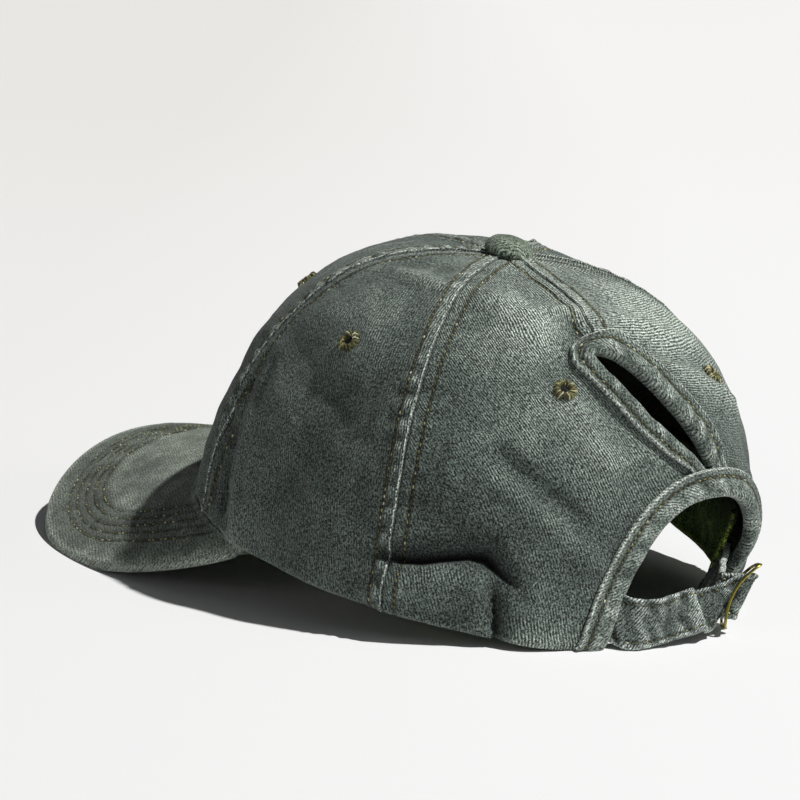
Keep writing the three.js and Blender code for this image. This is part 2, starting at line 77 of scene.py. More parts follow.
# Shapes are worked out in millimetres: theta turns from the front toward +X, and w climbs the
# cloth from the rim (0) to the button (1).
stand_at = np.array([0, 31.014, 13.472])
crown_pitch = math.radians(-8.9)
twill_thick = 1.4
rim_waves = [85.4, 1.7, 5.3, -0.5]
crown_height = 90.5
shoulder_plan = 2.98
shoulder_rise = 1.7
swirl = math.radians(-6.5)
rear_lean = 19.5
rear_tuck = 2.7
rear_drop = 1.1
top_shift = -1.5
front_lift = 1.6
side_lift = 1.0
seam_angles = {"front": 0, "front_side": 57.9, "back_side": 118.3, "back": 180}
back_seam_drift = -6.5
arch = {"middle": 180, "half_angle": 19.3, "top": 0.296, "fullness": 2.4}
slit = {
    "foot": 0.315, "top": 0.615,
    "climbs": [0, 0.12, 0.3, 0.48, 0.8, 1], "half_widths": [1.3, 2.2, 4.6, 6.1, 6.1, 5.9],
}


def table(columns, rows):
    """Rows under named columns"""
    return [dict(zip(columns.split(), row)) for row in rows]


# Dents and folds, each from one place on the cloth (degrees, w) to another, in millimetres
folds = table("name from to width out", [
    ("pinch on the left flank", (119, 0.11), (137, 0.155), 4.5, -3.2),
    ("lip under the pinch", (122, 0.075), (137, 0.1), 6, 2.2),
    ("end of the pinch", (137, 0.155), (141, 0.11), 3.5, -2.4),
    ("notch at the rim", (139, 0.09), (141, 0.02), 3.2, -2.6),
    ("hollow above the pinch", (124, 0.22), (140, 0.27), 11, -1.6),
    ("back-left brow", (136, 0.73), (151, 0.67), 5.5, 2),
    ("back-left bump", (157, 0.72), (168, 0.715), 4.5, 1.2),
    ("back-left crease", (168, 0.68), (155, 0.555), 5, -1.9),
    ("back-left ridge", (152, 0.47), (158, 0.37), 6.5, 1.8),
    ("back-right ridge high", (187, 0.69), (206, 0.615), 5.5, 1.5),
    ("back-right ridge low", (192, 0.55), (205, 0.44), 5, 1.1),
    ("back-right valley", (198, 0.585), (208, 0.56), 6, -1.2),
    ("left flank hollow", (78, 0.44), (98, 0.36), 9, -2),
    ("left flank low hollow", (92, 0.25), (88, 0.14), 8, -1.8),
    ("left temple crease", (61, 0.22), (68, 0.04), 4, -1.8),
    ("left temple roll", (70, 0.26), (76, 0.03), 5, 1.5),
    ("front-left crease", (38, 0.3), (52, 0.05), 6, -1.8),
    ("front-right crease", (-34, 0.32), (-50, 0.06), 6.5, -1.8),
    ("right temple crease", (-62, 0.25), (-70, 0.03), 4.5, -1.9),
    ("right flank hollow", (-100, 0.42), (-80, 0.34), 9, -2),
    ("right flank pinch", (-139, 0.14), (-122, 0.12), 5, -2.4),
    ("tuck beside the arch", (206, 0.34), (213, 0.2), 13, -2.8),
    ("fullness on the back-right", (216, 0.72), (229, 0.52), 13, 2),
    ("flare of the left foot", (161, 0.0), (150, 0.01), 13, 4.2),
    ("tuck of the right foot", (199, 0.0), (203, 0.055), 13, -5.6),
])

# Sharper creases that only the cloth has
creases = table("name from to width out", [
    ("hollow high on the flank", (72, 0.76), (96, 0.79), 4, -0.9),
    ("roll under it", (78, 0.728), (105, 0.726), 3, 1.1),
    ("hollow under the roll", (76, 0.69), (98, 0.682), 3.5, -0.6),
    ("bright edge of the bump", (150, 0.7), (169, 0.72), 2.2, 0.8),
    ("crease under the bump", (168, 0.69), (163, 0.6), 2, -0.9),
    ("dark fold on the back-left", (138.5, 0.36), (153, 0.24), 3.6, -1.7),
    ("pale fold beside it", (138, 0.31), (156, 0.16), 4, 1.4),
    ("temple tuck high", (62, 0.4), (64, 0.2), 2.2, -0.9),
    ("temple tuck low", (67, 0.24), (71, 0.03), 1.8, -1),
    ("temple tuck front", (52, 0.24), (53.5, 0.04), 1.5, -1.5),
    ("temple wrinkle front", (56.5, 0.3), (62, 0.06), 1.5, -1.5),
    ("temple wrinkle middle", (61, 0.33), (66.5, 0.05), 1.6, -1.5),
    ("temple wrinkle back", (66, 0.4), (75, 0.12), 2.2, -1.1),
    ("far temple tuck", (-66, 0.22), (-72, 0.03), 2, -1),
    ("crease over the slit", (188, 0.685), (213, 0.57), 2.4, 0.7),
    ("crease by the slit", (186, 0.62), (196, 0.575), 2.6, -0.9),
    ("crease under the far eyelet", (190, 0.565), (206, 0.455), 1.8, 0.8),
    ("long crease high", (139, 0.692), (152, 0.63), 2, 0.5),
    ("long crease middle", (152, 0.63), (154.5, 0.48), 2, 0.55),
    ("long crease low", (154.5, 0.48), (158, 0.35), 2.2, 0.5),
])

# Tucks: along each path of (degrees, w, depth) the cloth drops at once, and it rises slowly again
# on the path's left, as seen from outside. Painted shade darkens their insides, as much as each tuck's dark
# share says.
tucks = [
    {
        "name": "mouth of the pinch",
        "path": [
            (117.8, 0.106, 1.0), (121, 0.106, 2.3), (125, 0.113, 3.0), (130, 0.13, 3.0),
            (134, 0.142, 2.7), (137, 0.141, 2.4), (139.5, 0.125, 1.7), (142.5, 0.106, 0.8), (145, 0.095, 0),
        ],
        "rise": 2.8, "lip": 0.28, "dark": 0.97,
    },
    {
        "name": "notch at the rim",
        "path": [(138.8, 0.095, 0), (139.4, 0.072, 1.5), (140.4, 0.04, 2.0), (141.2, 0.0, 2.0)],
        "rise": 2.6, "lip": 0.25, "dark": 0.5,
    },
    {
        "name": "tuck of the far flank",
        "path": [(-141, 0.12, 0), (-136, 0.135, 1.6), (-128, 0.125, 1.7), (-121, 0.105, 0.6)],
        "rise": 2.4, "lip": 0.25, "dark": 0.6,
    },
]


def smoothstep(value, low, high):
    share = np.clip((value - low) / (high - low), 0, 1)
    return share * share * (3 - 2 * share)


def bump(value, width, centre=0):
    """1 at the centre, falling away on both sides"""
    return np.exp(-((value - centre) / width) ** 2)


def squared(wave, power):
    """A sine or cosine with its sign kept and its corners made squarer"""
    return np.sign(wave) * np.abs(wave) ** power


def wrapped(turn):
    """The same angle from minus half a turn to half a turn"""
    return (turn + math.pi) % (2 * math.pi) - math.pi


def inward_at(v):
    return np.maximum(np.cos(v * math.pi / 2), 0) ** (2 / shoulder_plan)


def rise_at(v):
    return np.maximum(np.sin(v * math.pi / 2), 0) ** (2 / shoulder_rise)


profile_steps = np.linspace(0, 1, 301)
profile_run = np.hypot(
    rim_waves[0] * np.diff(inward_at(profile_steps)),
    crown_height * np.diff(rise_at(profile_steps)),
)
profile_run = np.concatenate([[0], np.cumsum(profile_run)])
meridian_length = profile_run[-1]


def tilted(x, y, z):
    """Into the shared frame: pitched forward, then stood on the floor"""
    turn_y = y * math.cos(crown_pitch) - z * math.sin(crown_pitch)
    turn_z = y * math.sin(crown_pitch) + z * math.cos(crown_pitch)
    return np.stack(np.broadcast_arrays(x, turn_y, turn_z), axis=-1) + stand_at


def crown_shape(theta, w):
    """The crown before it is tilted, without its folds: x, y and z"""
    v = np.interp(np.clip(w, 0, 1) * meridian_length, profile_run, profile_steps)
    turned = theta + swirl * v
    front = np.maximum(np.cos(turned), 0)
    back = np.maximum(-np.cos(turned), 0) ** 4
    radius = sum(size * np.cos(wave * turned) for wave, size in enumerate(rim_waves))
    radius = radius - rear_tuck * back * np.maximum(1 - v / 0.25, 0) ** 2
    inward = inward_at(v)
    level = front_lift * front ** 1.5 - side_lift * np.cos(2 * turned) - rear_drop * back
    lean = rear_lean * back * np.sin(math.pi * np.minimum(v / 0.7, 1))
    x = radius * np.sin(turned) * inward - lean
    y = top_shift * (1 - inward) - radius * np.cos(turned) * inward
    z = crown_height * rise_at(v) + np.minimum(w, 0) * meridian_length + level * (1 - v) ** 2
    return x, y, z


def bare_crown(theta, w):
    """The crown in the shared frame, without its folds"""
    return tilted(*crown_shape(theta, w))


def unit(vectors):
    return vectors / np.maximum(np.linalg.norm(vectors, axis=-1, keepdims=True), 1e-9)


def crown_frame(theta, w):
    """How the bare crown runs around and up at a place, and which way it faces"""
    turn, rise = 0.01, 0.005
    high = np.minimum(w, 0.97)
    around = (bare_crown(theta + turn, high) - bare_crown(theta - turn, high)) / (2 * turn)
    climb = (bare_crown(theta, high + rise) - bare_crown(theta, high - rise)) / (2 * rise)
    return around, climb, unit(np.cross(around, climb))


def girth(theta, w):
    """Millimetres that a radian covers, round the crown"""
    return np.linalg.norm(crown_frame(theta, w)[0], axis=-1)


def off_line(point, start, end):
    """How far along a line from start to end the nearest place lies, as a share, and the way from
    there to the point"""
    along = end - start
    share = np.clip(((point - start) @ along) / (along @ along), 0, 1)
    return share, point - start - share[..., None] * along


def line_distance(point, start, end):
    return np.linalg.norm(off_line(point, start, end)[1], axis=-1)


def fold_relief(point, table, soften=1):
    """How far the folds of a table move the cloth outward; softened cloth takes only the dents"""
    total = np.zeros(point.shape[:-1])
    for fold in table:
        if soften > 1 and fold["out"] > 0:
            continue
        start, end = (bare_crown(math.radians(angle), w) for angle, w in (fold["from"], fold["to"]))
        distance = line_distance(point, start, end)
        total += fold["out"] * bump(distance, fold["width"] * soften)
    return total


def tuck_relief(point, tuck):
    """Height of the cloth by a tuck, and how much painted shade darkens it there, from 0 to 1"""
    nearest = np.full(point.shape[:-1], 1e6)
    height, dark = np.zeros_like(nearest), np.zeros_like(nearest)
    stops = [(math.radians(angle), w, depth) for angle, w, depth in tuck["path"]]
    for (theta_0, w_0, depth_0), (theta_1, w_1, depth_1) in zip(stops, stops[1:]):
        start, end = bare_crown(theta_0, w_0), bare_crown(theta_1, w_1)
        left = unit(np.cross(crown_frame(theta_0, w_0)[2], end - start))
        share, offset = off_line(point, start, end)
        distance = np.linalg.norm(offset, axis=-1)
        side = np.where(offset @ left < 0, -distance, distance)
        depth = depth_0 + (depth_1 - depth_0) * share
        inside = smoothstep(side, -0.3, 0.3)
        drop = -np.exp(-np.maximum(side, 0) / tuck["rise"]) * inside
        raised = tuck["lip"] * bump(side, 3.5) * (1 - inside)
        # Painted shade: full along the tuck's edge, fading out over its rise on the left side
        painted_shade = np.exp(-(np.maximum(side, 0) / tuck["rise"]) ** 3) * inside
        closer = distance < nearest
        height = np.where(closer, depth * (drop + raised), height)
        dark = np.where(closer, np.minimum(depth / 2, 1) * tuck["dark"] * painted_shade, dark)
        nearest = np.minimum(nearest, distance)
    return height, dark


def crown(theta, w, depth=0, soften=1):
    """A point of the crown's cloth, depth being measured outward from its outer face"""
    point = bare_crown(theta, w)
    normal = crown_frame(theta, w)[2]
    relief = fold_relief(point, folds, soften) + depth
    return point + normal * relief[..., None]


def back_seam(w):
    return np.radians(seam_angles["back"] + back_seam_drift * smoothstep(w, arch["top"], 0.62))


def seam_line(name):
    """The angle of a seam as a function of w; a name ends in _right for the wearer's right"""
    if name == "back":
        return back_seam
    side = -1 if name.endswith("_right") else 1
    angle = math.radians(side * seam_angles[name.replace("_right", "")])
    return lambda w: np.full_like(np.asarray(w, float), angle)


def arch_edge(share):
    """The arch's cut edge, from its left foot over the top to its right foot"""
    turn = share * math.pi
    power = 2 / arch["fullness"]
    theta = np.radians(arch["middle"] - arch["half_angle"] * squared(np.cos(turn), power))
    return theta, arch["top"] * np.sin(turn) ** power


def slit_climb(w):
    return np.clip((w - slit["foot"]) / (slit["top"] - slit["foot"]), 0, 1)


def slit_half_width(w):
    """Half the slit's opening in millimetres: narrow at its foot, widest low down, its head square"""
    climb = slit_climb(w)
    wide = np.interp(climb, slit["climbs"], slit["half_widths"])
    return wide * np.sqrt(np.maximum(1 - climb ** 16, 0))


def slit_middle(w):
    """The slit's middle line, which leans to the left of the back seam as it climbs"""
    around = girth(back_seam(w), w)
    climb = slit_climb(w)
    low_lean = 2.3 * smoothstep(climb, 0.02, 0.35)
    bulge = 0.8 * bump(climb, 0.15, 0.5)
    return back_seam(w) - (low_lean + 0.5 * climb + bulge) / around


def slit_edge(share):
    """The slit's cut edge, from its foot up one side and down the other"""
    w = slit["foot"] + (slit["top"] - slit["foot"]) * np.sin(share * math.pi)
    side = np.where(share < 0.5, -1, 1)
    around = girth(back_seam(w), w)
    return slit_middle(w) + side * slit_half_width(w) / around, w


edge_shares = np.linspace(0, 1, 160)
opening_line = np.concatenate([bare_crown(*arch_edge(edge_shares)), bare_crown(*slit_edge(edge_shares))])


def opening_distance(point):
    """Millimetres to the nearest cut edge of the arch or the slit"""
    nearest = np.full(point.shape[:-1], 1e6)
    for place in opening_line:
        nearest = np.minimum(nearest, np.linalg.norm(point - place, axis=-1))
    return nearest


def ripple(run, across, seed, shortest, longest, slant):
    """A wandering wave along a run, about 1 at its peaks, its crests leaning over by slant"""
    dice = np.random.default_rng(seed)
    total = np.zeros(np.broadcast(run, across).shape)
    for _ in range(8):
        length = dice.uniform(shortest, longest)
        lean = slant * dice.uniform(0.4, 1.4)
        total += np.sin(2 * math.pi * ((run + lean * across) / length + dice.random()))
    return total / 2.4


def crumple(point, seed, shortest, longest):
    """Soft random relief in space, about 1 at its peaks"""
    dice = np.random.default_rng(seed)
    total = np.zeros(point.shape[:-1])
    for _ in range(22):
        way = unit(dice.normal(size=3))
        length = dice.uniform(shortest, longest)
        total += np.sin(2 * math.pi * (point @ way / length + dice.random()))
    return total / 5


# A seam: the raised edge lies on one side of it, high being 1 toward +theta and -1 away from it
stitch_offset = 4.0
seam_rows = table("name high seed pucker", [
    ("front", 1, 11, 0.35),
    ("front_side", -1, 12, 0.5),
    ("front_side_right", 1, 13, 0.5),
    ("back_side", -1, 14, 0.65),
    ("back_side_right", 1, 15, 0.45),
    ("back", 1, 16, 0.25),
])


def seam_relief(side, run, row):
    """Height of the cloth by its distance from a seam, positive on the raised side, and its run"""
    distance = np.abs(side)
    allowance = (0.42 + 0.2 * np.tanh(side / 0.3)) / (1 + np.exp((distance - 5.2) / 0.35))
    fold = 0.22 * bump(side, 0.35, 0.4)
    join = -0.32 * bump(side, 0.3, -0.3)
    groove = -0.5 * bump(distance, 0.5, stitch_offset)
    wave = ripple(run, side, row["seed"], 3.6, 9, 0.3)
    strip = bump(side, 1.2, 2.3) + 0.3 * bump(side, 1.2, -2.2)
    beyond = 0.42 * np.exp(-np.maximum(distance - stitch_offset, 0) / 3.2) * smoothstep(distance, 4.2, 5.4)
    return allowance + fold + join + groove + row["pucker"] * wave * (strip + beyond)


eyelet_height = 0.517
eyelet_angles = {"front": 27.5, "side": 90, "back": 153.4}
# Each eyelet sinks the cloth a little round it, and painted shade darkens its middle, where a hole would show
# the dark inside
eyelet_hollow = {"deep": 0.5, "wide": 5, "dark": 0.93, "painted_shade_within": 1.2, "painted_shade_ends": 1.9}


def cloth_relief(theta, w):
    """The panels' outer face: its fine relief in millimetres, how worn it is, with painted light mixed in,
    how far it is from the nearest seam (positive on the raised side), and how much of its colour the painted
    shade of the tucks and the eyelet holes leaves, from 0 to 1"""
    point = bare_crown(theta, w)
    around = girth(theta, w)
    run = w * meridian_length
    seams = np.zeros(point.shape[:-1])
    seam = np.full(point.shape[:-1], 99.0)
    for row in seam_rows:
        side = wrapped(theta - seam_line(row["name"])(w)) * around * row["high"]
        near = np.abs(side) < 20
        seams += np.where(near, seam_relief(side, run, row), 0)
        seam = np.where(np.abs(side) < np.abs(seam), side, seam)
    seams = seams * smoothstep((1 - w) * meridian_length, 3, 9)
    soft = 0.34 * crumple(point, 21, 16, 42) + 0.12 * crumple(point, 22, 5, 11)
    sharp = fold_relief(point, creases)
    clear_of_painted_shade = np.ones_like(seams)
    for tuck in tucks:
        height, dark = tuck_relief(point, tuck)
        sharp += height
        clear_of_painted_shade -= dark
    eyelets = np.zeros_like(seams)
    for angle in eyelet_angles.values():
        for hand in (-1, 1):
            reach = np.linalg.norm(point - bare_crown(hand * math.radians(angle), eyelet_height), axis=-1)
            eyelets -= eyelet_hollow["deep"] * bump(reach, eyelet_hollow["wide"])
            # Painted shade where the hole is; the cloth itself is not pierced
            painted_hole_shade = smoothstep(-reach, -eyelet_hollow["painted_shade_ends"], -eyelet_hollow["painted_shade_within"])
            clear_of_painted_shade -= eyelet_hollow["dark"] * painted_hole_shade
    bound = smoothstep(opening_distance(point), 5.2, 8.6)
    hem = (0.22 * bump(run, 1.1, 1.7) - 0.9 * bump(run, 0.55)) * smoothstep(-run, -9, -7)
    fine = seams * (0.25 + 0.75 * bound) + soft * bound + eyelets + hem
    wear = (0.5 + 0.5 * smoothstep(w, 0.1, 0.4)) * (seams - 0.3) * (np.abs(seam) < 14)
    wear += 0.4 * soft + 0.25 * fold_relief(point, folds) + 0.35 * np.clip(sharp, -1, 1)
    # Partly a fade of the dye and partly painted light: the cloth is painted darker low on the crown and
    # paler high up, over the top and the upper back, where the key lamp falls
    fade_and_painted_light_top = 0.7 * smoothstep(w, 0.44, 0.66) + 0.15 * smoothstep(w, 0.7, 0.95) - 0.4
    fade_and_painted_light_back = (1.03 * smoothstep(w, 0.12, 0.42) - 0.48) * smoothstep(np.abs(wrapped(theta)), 2.0, 2.6)
    wear += 0.5 * bump(run, 1.6) + fade_and_painted_light_top + fade_and_painted_light_back
    return fine + sharp * bound, wear, seam, np.clip(clear_of_painted_shade, 0, 1)


def lay_grid(name, points):
    """A grid whose vertices, row by row, are moved to these points, in millimetres, none below the floor"""
    points = np.concatenate([points[..., :2], np.maximum(points[..., 2:], 0)], axis=-1)
    rows, columns = points.shape[:2]
    bpy.ops.object.select_all(action="DESELECT")
    bpy.ops.mesh.primitive_grid_add(x_subdivisions=columns - 1, y_subdivisions=rows - 1, size=1)
    piece = bpy.context.object
    piece.name = name
    piece.data.name = name
    piece.data.vertices.foreach_set("co", (points * mm).astype(np.float32).ravel())
    piece.data.update()
    bpy.ops.object.shade_smooth()
    return piece


def note(piece, name, values):
    """Keeps a number or a vector with each vertex, for the piece's material"""
    values = np.asarray(values, np.float32)
    vector = values.size > len(piece.data.vertices)
    layer = piece.data.attributes.new(name, "FLOAT_VECTOR" if vector else "FLOAT", "POINT")
    layer.data.foreach_set("vector" if vector else "value", values.ravel())


def thicken(piece, thick):
    """Gives a sheet its wall, inward, and marks the inner face for its material"""
    outer_count = len(piece.data.vertices)
    wall = piece.modifiers.new("wall", "SOLIDIFY")
    wall.thickness = thick * mm
    wall.offset = -1
    bpy.context.view_layer.objects.active = piece
    bpy.ops.object.modifier_apply(modifier=wall.name)
    inside = np.zeros(len(piece.data.vertices))
    inside[outer_count:] = 1
    note(piece, "inside", inside)


def delete_faces(piece, doomed):
    """Deletes the faces whose flags are set"""
    bpy.context.view_layer.objects.active = piece
    bpy.ops.object.mode_set(mode="EDIT")
    bpy.ops.mesh.select_mode(type="FACE")
    bpy.ops.mesh.select_all(action="DESELECT")
    bpy.ops.object.mode_set(mode="OBJECT")
    piece.data.polygons.foreach_set("select", doomed)
    bpy.ops.object.mode_set(mode="EDIT")
    bpy.ops.mesh.delete(type="FACE")
    bpy.ops.object.mode_set(mode="OBJECT")


class Link:
    """A shader socket that takes part in Python sums"""

    def __init__(self, finish, socket):
        self.finish = finish
        self.socket = socket

    def maths(self, operation, *values):
        sockets = dict(enumerate(values))
        return self.finish.node("Math", {"operation": operation}, sockets)

    def __add__(self, other):
        return self.maths("ADD", self, other)

    def __sub__(self, other):
        return self.maths("SUBTRACT", self, other)

    def __rsub__(self, other):
        return self.maths("SUBTRACT", other, self)

    def __mul__(self, other):
        return self.maths("MULTIPLY", self, other)

    def __truediv__(self, other):
        return self.maths("DIVIDE", self, other)

    __radd__ = __add__
    __rmul__ = __mul__

    def sine(self):
        return self.maths("SINE", self)

    def bell(self, centre, width):
        """1 at the centre, falling away on both sides"""
        off = (self - centre) / width
        return self.maths("EXPONENT", off * off * -1.0)

    def clamped(self, low=0, high=1):
        return self.maths("MINIMUM", self.maths("MAXIMUM", self, low), high)


class Finish:
    """A material in the making"""

    def __init__(self, name, **numbers):
        self.material = bpy.data.materials.new(name)
        self.material.use_nodes = True
        self.tree = self.material.node_tree
        self.shader = self.tree.nodes["Principled BSDF"]
        for socket, number in numbers.items():
            self.shader.inputs[socket.replace("_", " ").title()].default_value = number

    def node(self, kind, settings=None, sockets=None, out=0):
        made = self.tree.nodes.new("ShaderNode" + kind)
        for key, value in (settings or {}).items():
            setattr(made, key, value)
        for key, value in (sockets or {}).items():
            if isinstance(value, Link):
                self.tree.links.new(value.socket, made.inputs[key])
            else:
                made.inputs[key].default_value = value
        return Link(self, made.outputs[out])

    def feed(self, socket, link):
        self.tree.links.new(link.socket, self.shader.inputs[socket])

    def mix(self, factor, a, b):
        return self.node("Mix", {"data_type": "RGBA"}, {0: factor, 6: a, 7: b}, out=2)

    def scaled(self, colour, factor):
        colour = colour[:3] if isinstance(colour, tuple) else colour
        return self.node("VectorMath", {"operation": "SCALE"}, {"Vector": colour, "Scale": factor})

    def attribute(self, name, out="Fac"):
        return self.node("Attribute", {"attribute_name": name}, out=out)

    def noise(self, vector, scale, detail=2, roughness=0.5):
        sockets = {"Vector": vector, "Scale": scale, "Detail": detail, "Roughness": roughness}
        return self.node("TexNoise", None, sockets)

    def place(self):
        """Object coordinates in millimetres"""
        return self.scaled(self.node("TexCoord", out="Object"), 1 / mm)

    def x_and_y(self, vector):
        x = self.node("SeparateXYZ", None, {0: vector}, out="X")
        return x, Link(self, x.socket.node.outputs["Y"])

    def emboss(self, height, millimetres, strength=1.0):
        """Raises the surface's shading by a height"""
        sockets = {"Strength": strength, "Distance": millimetres * mm, "Height": height}
        self.feed("Normal", self.node("Bump", None, sockets))


def dye(red, green, blue):
    """A colour given as it looks on a screen, out of 255"""
    return tuple((level / 255) ** 2.2 for level in (red, green, blue)) + (1,)


def twill(name, colours, wale_angle=28, wale=0.82, crisp=1.0, lining=None, fade=1.0, lines=()):
    """Washed twill: diagonal wales, uneven dye, pale where it is worn or carries painted light, dark where it
    sinks, and darker still under the painted shade that a piece keeps with its vertices. Its colours are the
    deepest, the middle and the palest. Lines are drawn at places of the piece's seam attribute, each with its
    colour and height."""
    deep, ground, pale = (dye(*colour) for colour in colours)
    finish = Finish(name, roughness=0.93, sheen_weight=0.1, sheen_roughness=0.6)
    finish.shader.inputs["Specular IOR Level"].default_value = 0.15
    u, v = finish.x_and_y(finish.attribute("cloth", out="Vector"))
    place = finish.place()
    lean_c, lean_s = math.cos(math.radians(wale_angle)), math.sin(math.radians(wale_angle))
    across = u * lean_c + v * lean_s
    along = v * lean_c - u * lean_s
    line = ((across / wale + finish.noise(place, 0.14, 2) * 1.8) * (2 * math.pi)).sine()
    yarn_place = finish.node("CombineXYZ", None, {0: across, 1: along * 0.5, 2: 0.0})
    yarn = finish.noise(yarn_place, 2.1, 2, 0.65) - 0.5
    speck = finish.noise(place, 1.9, 2, 0.7) - 0.5
    cloud = finish.noise(place, 0.035, 3, 0.6) - 0.5
    patch = finish.noise(place, 0.13, 3, 0.65) - 0.5
    worn_and_painted_light = (finish.attribute("wear") * 0.8 + patch * (1.1 * fade) + cloud * (1.5 * fade)).clamped(-1, 1)
    show = (finish.noise(place, 0.07, 2) * 1.3 - 0.05 + worn_and_painted_light * 0.6).clamped(0.2, 1)
    colour = finish.mix(worn_and_painted_light.clamped(0, 1), ground, pale)
    colour = finish.mix((worn_and_painted_light * -0.9).clamped(0, 1), colour, deep)
    seam = finish.attribute("seam")
    height = line * (show * (1.1 * crisp) + 0.1) + yarn * 2.6 + speck * 2.4
    for row in lines:
        mark = seam.bell(row["at"], row["width"])
        colour = finish.mix((mark * (speck * 2.4 + row["strength"])).clamped(0, 1), colour, row["colour"])
        height = height + mark * row["height"]
    salt = ((worn_and_painted_light * -1.6).clamped(0, 1) * 0.1 + 1.0) * (0.5 + 0.5 * crisp)
    grain = line * (show * (0.75 * crisp) + 0.04) + (yarn * 5.5 + speck * 7.5) * salt + 1.0
    colour = finish.scaled(colour, grain.clamped(0.18, 3.2))
    if lining:
        dark = finish.scaled(lining, grain.clamped(0.5, 1.5))
        colour = finish.mix(finish.attribute("inside"), colour, dark)
    # Painted shade: the colour is darkened as far as the piece's painted shade attribute says
    colour = finish.scaled(colour, 1.0 - finish.attribute("painted_shade"))
    finish.feed("Base Color", colour)
    finish.emboss(height, 0.13)
    return finish.material


worn_line = dye(182, 190, 182)
thread_stain = dye(46, 46, 30)
lining_green = dye(27, 35, 19)
# Lines along the seams: a worn pale line on the raised fold, a painted shade line in the join beside it, and
# the stained grooves of the two stitch rows
panel_lines = table("at width colour strength height", [
    (0.28, 0.22, worn_line, 0.5, 1.2),
    (-0.24, 0.2, dye(34, 40, 36), 0.4, -1.2),
    (stitch_offset, 0.75, thread_stain, 0.7, -1.6),
    (-stitch_offset, 0.7, thread_stain, 0.65, -1.4),
])
crown_colours = [(50, 57, 54), (94, 104, 98), (153, 163, 154)]
crown_twill = twill("crown_twill", crown_colours, lining=lining_green, fade=0.8, lines=panel_lines)

edge_zone = 9.5
edge_columns = 24
low_height = 0.2
top_hole = 4
panels = table("name from to grain rows low columns", [
    ("front_left", "front", "front_side", 0, 130, 0.22, 56),
    ("front_right", "front_side_right", "front", 0, 130, 0.22, 48),
    ("side_left", "front_side", "back_side", -12, 180, 0.24, 76),
    ("side_right", "back_side_right", "front_side_right", 10, 140, 0.24, 50),
    ("back_left", "back_side", "back", -3, 230, 0.4, 90),
    ("back_right", "back", "back_side_right", 50, 180, 0.22, 76),
])


def panel_places(start, end, rows, low, columns):
    """Angles and heights of a panel's grid, its columns closer together along both seams; low is
    the share of its rows that lie below low_height"""
    top = 1 - top_hole / meridian_length
    w = np.interp(np.linspace(0, 1, rows + 1), [0, low, 1], [0, low_height, top])[:, None]
    first, last = start(w), end(w)
    last = np.where(last < first, last + 2 * math.pi, last)
    wide = (last - first) * girth((first + last) / 2, w)
    zone = np.minimum(edge_zone, 0.3 * wide)
    edge = np.linspace(0, 1, edge_columns)[None, :] ** 1.3
    middle = zone + (wide - 2 * zone) * np.linspace(0, 1, columns + 2)[None, 1:-1]
    run = np.concatenate([zone * edge, middle, wide - zone * edge[:, ::-1]], axis=1)
    theta = first + (last - first) * run / wide
    return theta, np.broadcast_to(w, theta.shape), (first + last) / 2


def cut_openings(piece, theta, w):
    """Deletes the cloth inside the arch and the slit, whose edges the bindings cover"""

    def middle(values):
        return (values[:-1, :-1] + values[1:, 1:]) / 2

    turn = np.abs((middle(theta) % (2 * math.pi)) - math.radians(arch["middle"]))
    height = middle(w)
    power = arch["fullness"]
    in_arch = (turn / math.radians(arch["half_angle"])) ** power + (height / arch["top"]) ** power < 1
    around = girth(middle(theta), height)
    off_seam = np.abs((middle(theta) % (2 * math.pi)) - slit_middle(height)) * around
    in_slit = (off_seam < slit_half_width(height)) & (height > slit["foot"]) & (height < slit["top"])
    delete_faces(piece, (in_arch | in_slit).ravel())


for panel in panels:
    grid = (panel["rows"], panel["low"], panel["columns"])
    theta, w, middle = panel_places(seam_line(panel["from"]), seam_line(panel["to"]), *grid)
    fine, wear, seam, clear_of_painted_shade = cloth_relief(theta, w)
    points = crown(theta, w, fine)
    piece = lay_grid(f"{panel['name']}_panel", points)
    grain = np.radians(panel["grain"])
    run, up = (theta - middle) * girth(theta, w), w * meridian_length
    across = run * np.cos(grain) + up * np.sin(grain)
    along = up * np.cos(grain) - run * np.sin(grain)
    note(piece, "cloth", np.stack([across, along, 0 * w], axis=-1))
    note(piece, "wear", wear)
    note(piece, "seam", seam)
    note(piece, "painted_shade", 1 - clear_of_painted_shade)
    if panel["name"].startswith("back"):
        cut_openings(piece, theta, w)
    thicken(piece, twill_thick)
    piece.data.materials.append(crown_twill)
    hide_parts(f"panel_{panel['name']}")
    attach(piece, "root")

# Topstitching: olive cotton thread in a lockstitch, one row on each side of every seam.
# Each stitch is a short bent capsule that dips into the cloth at both of its ends.
thread_radius = 0.24
stitch_length = 1.3
stitch_pitch = 2.05
stitch_rings = 5
stitch_sides = 5
seam_row_ends = (0.012, 0.955)
seam_row_clear = 0.05


def cotton_thread():
    """Olive thread, some stitches paler where the dye has worn off them"""
    finish = Finish("cotton_thread", roughness=0.75)
    tone = finish.attribute("tone")
    colour = finish.mix(tone.clamped(0, 1), dye(60, 58, 28), dye(168, 165, 112))
    colour = finish.mix((tone - 0.8).clamped(0, 0.2) / 0.2, colour, dye(226, 222, 190))
    grain = finish.noise(finish.place(), 5, 1)
    finish.feed("Base Color", finish.scaled(colour, grain + 0.5))
    finish.emboss(grain, 0.05, 0.5)
    return finish.material


thread = cotton_thread()


def run_along(path):
    """Millimetres along a path to each of its points"""
    return np.concatenate([[0], np.cumsum(np.linalg.norm(np.diff(path, axis=0), axis=-1))])


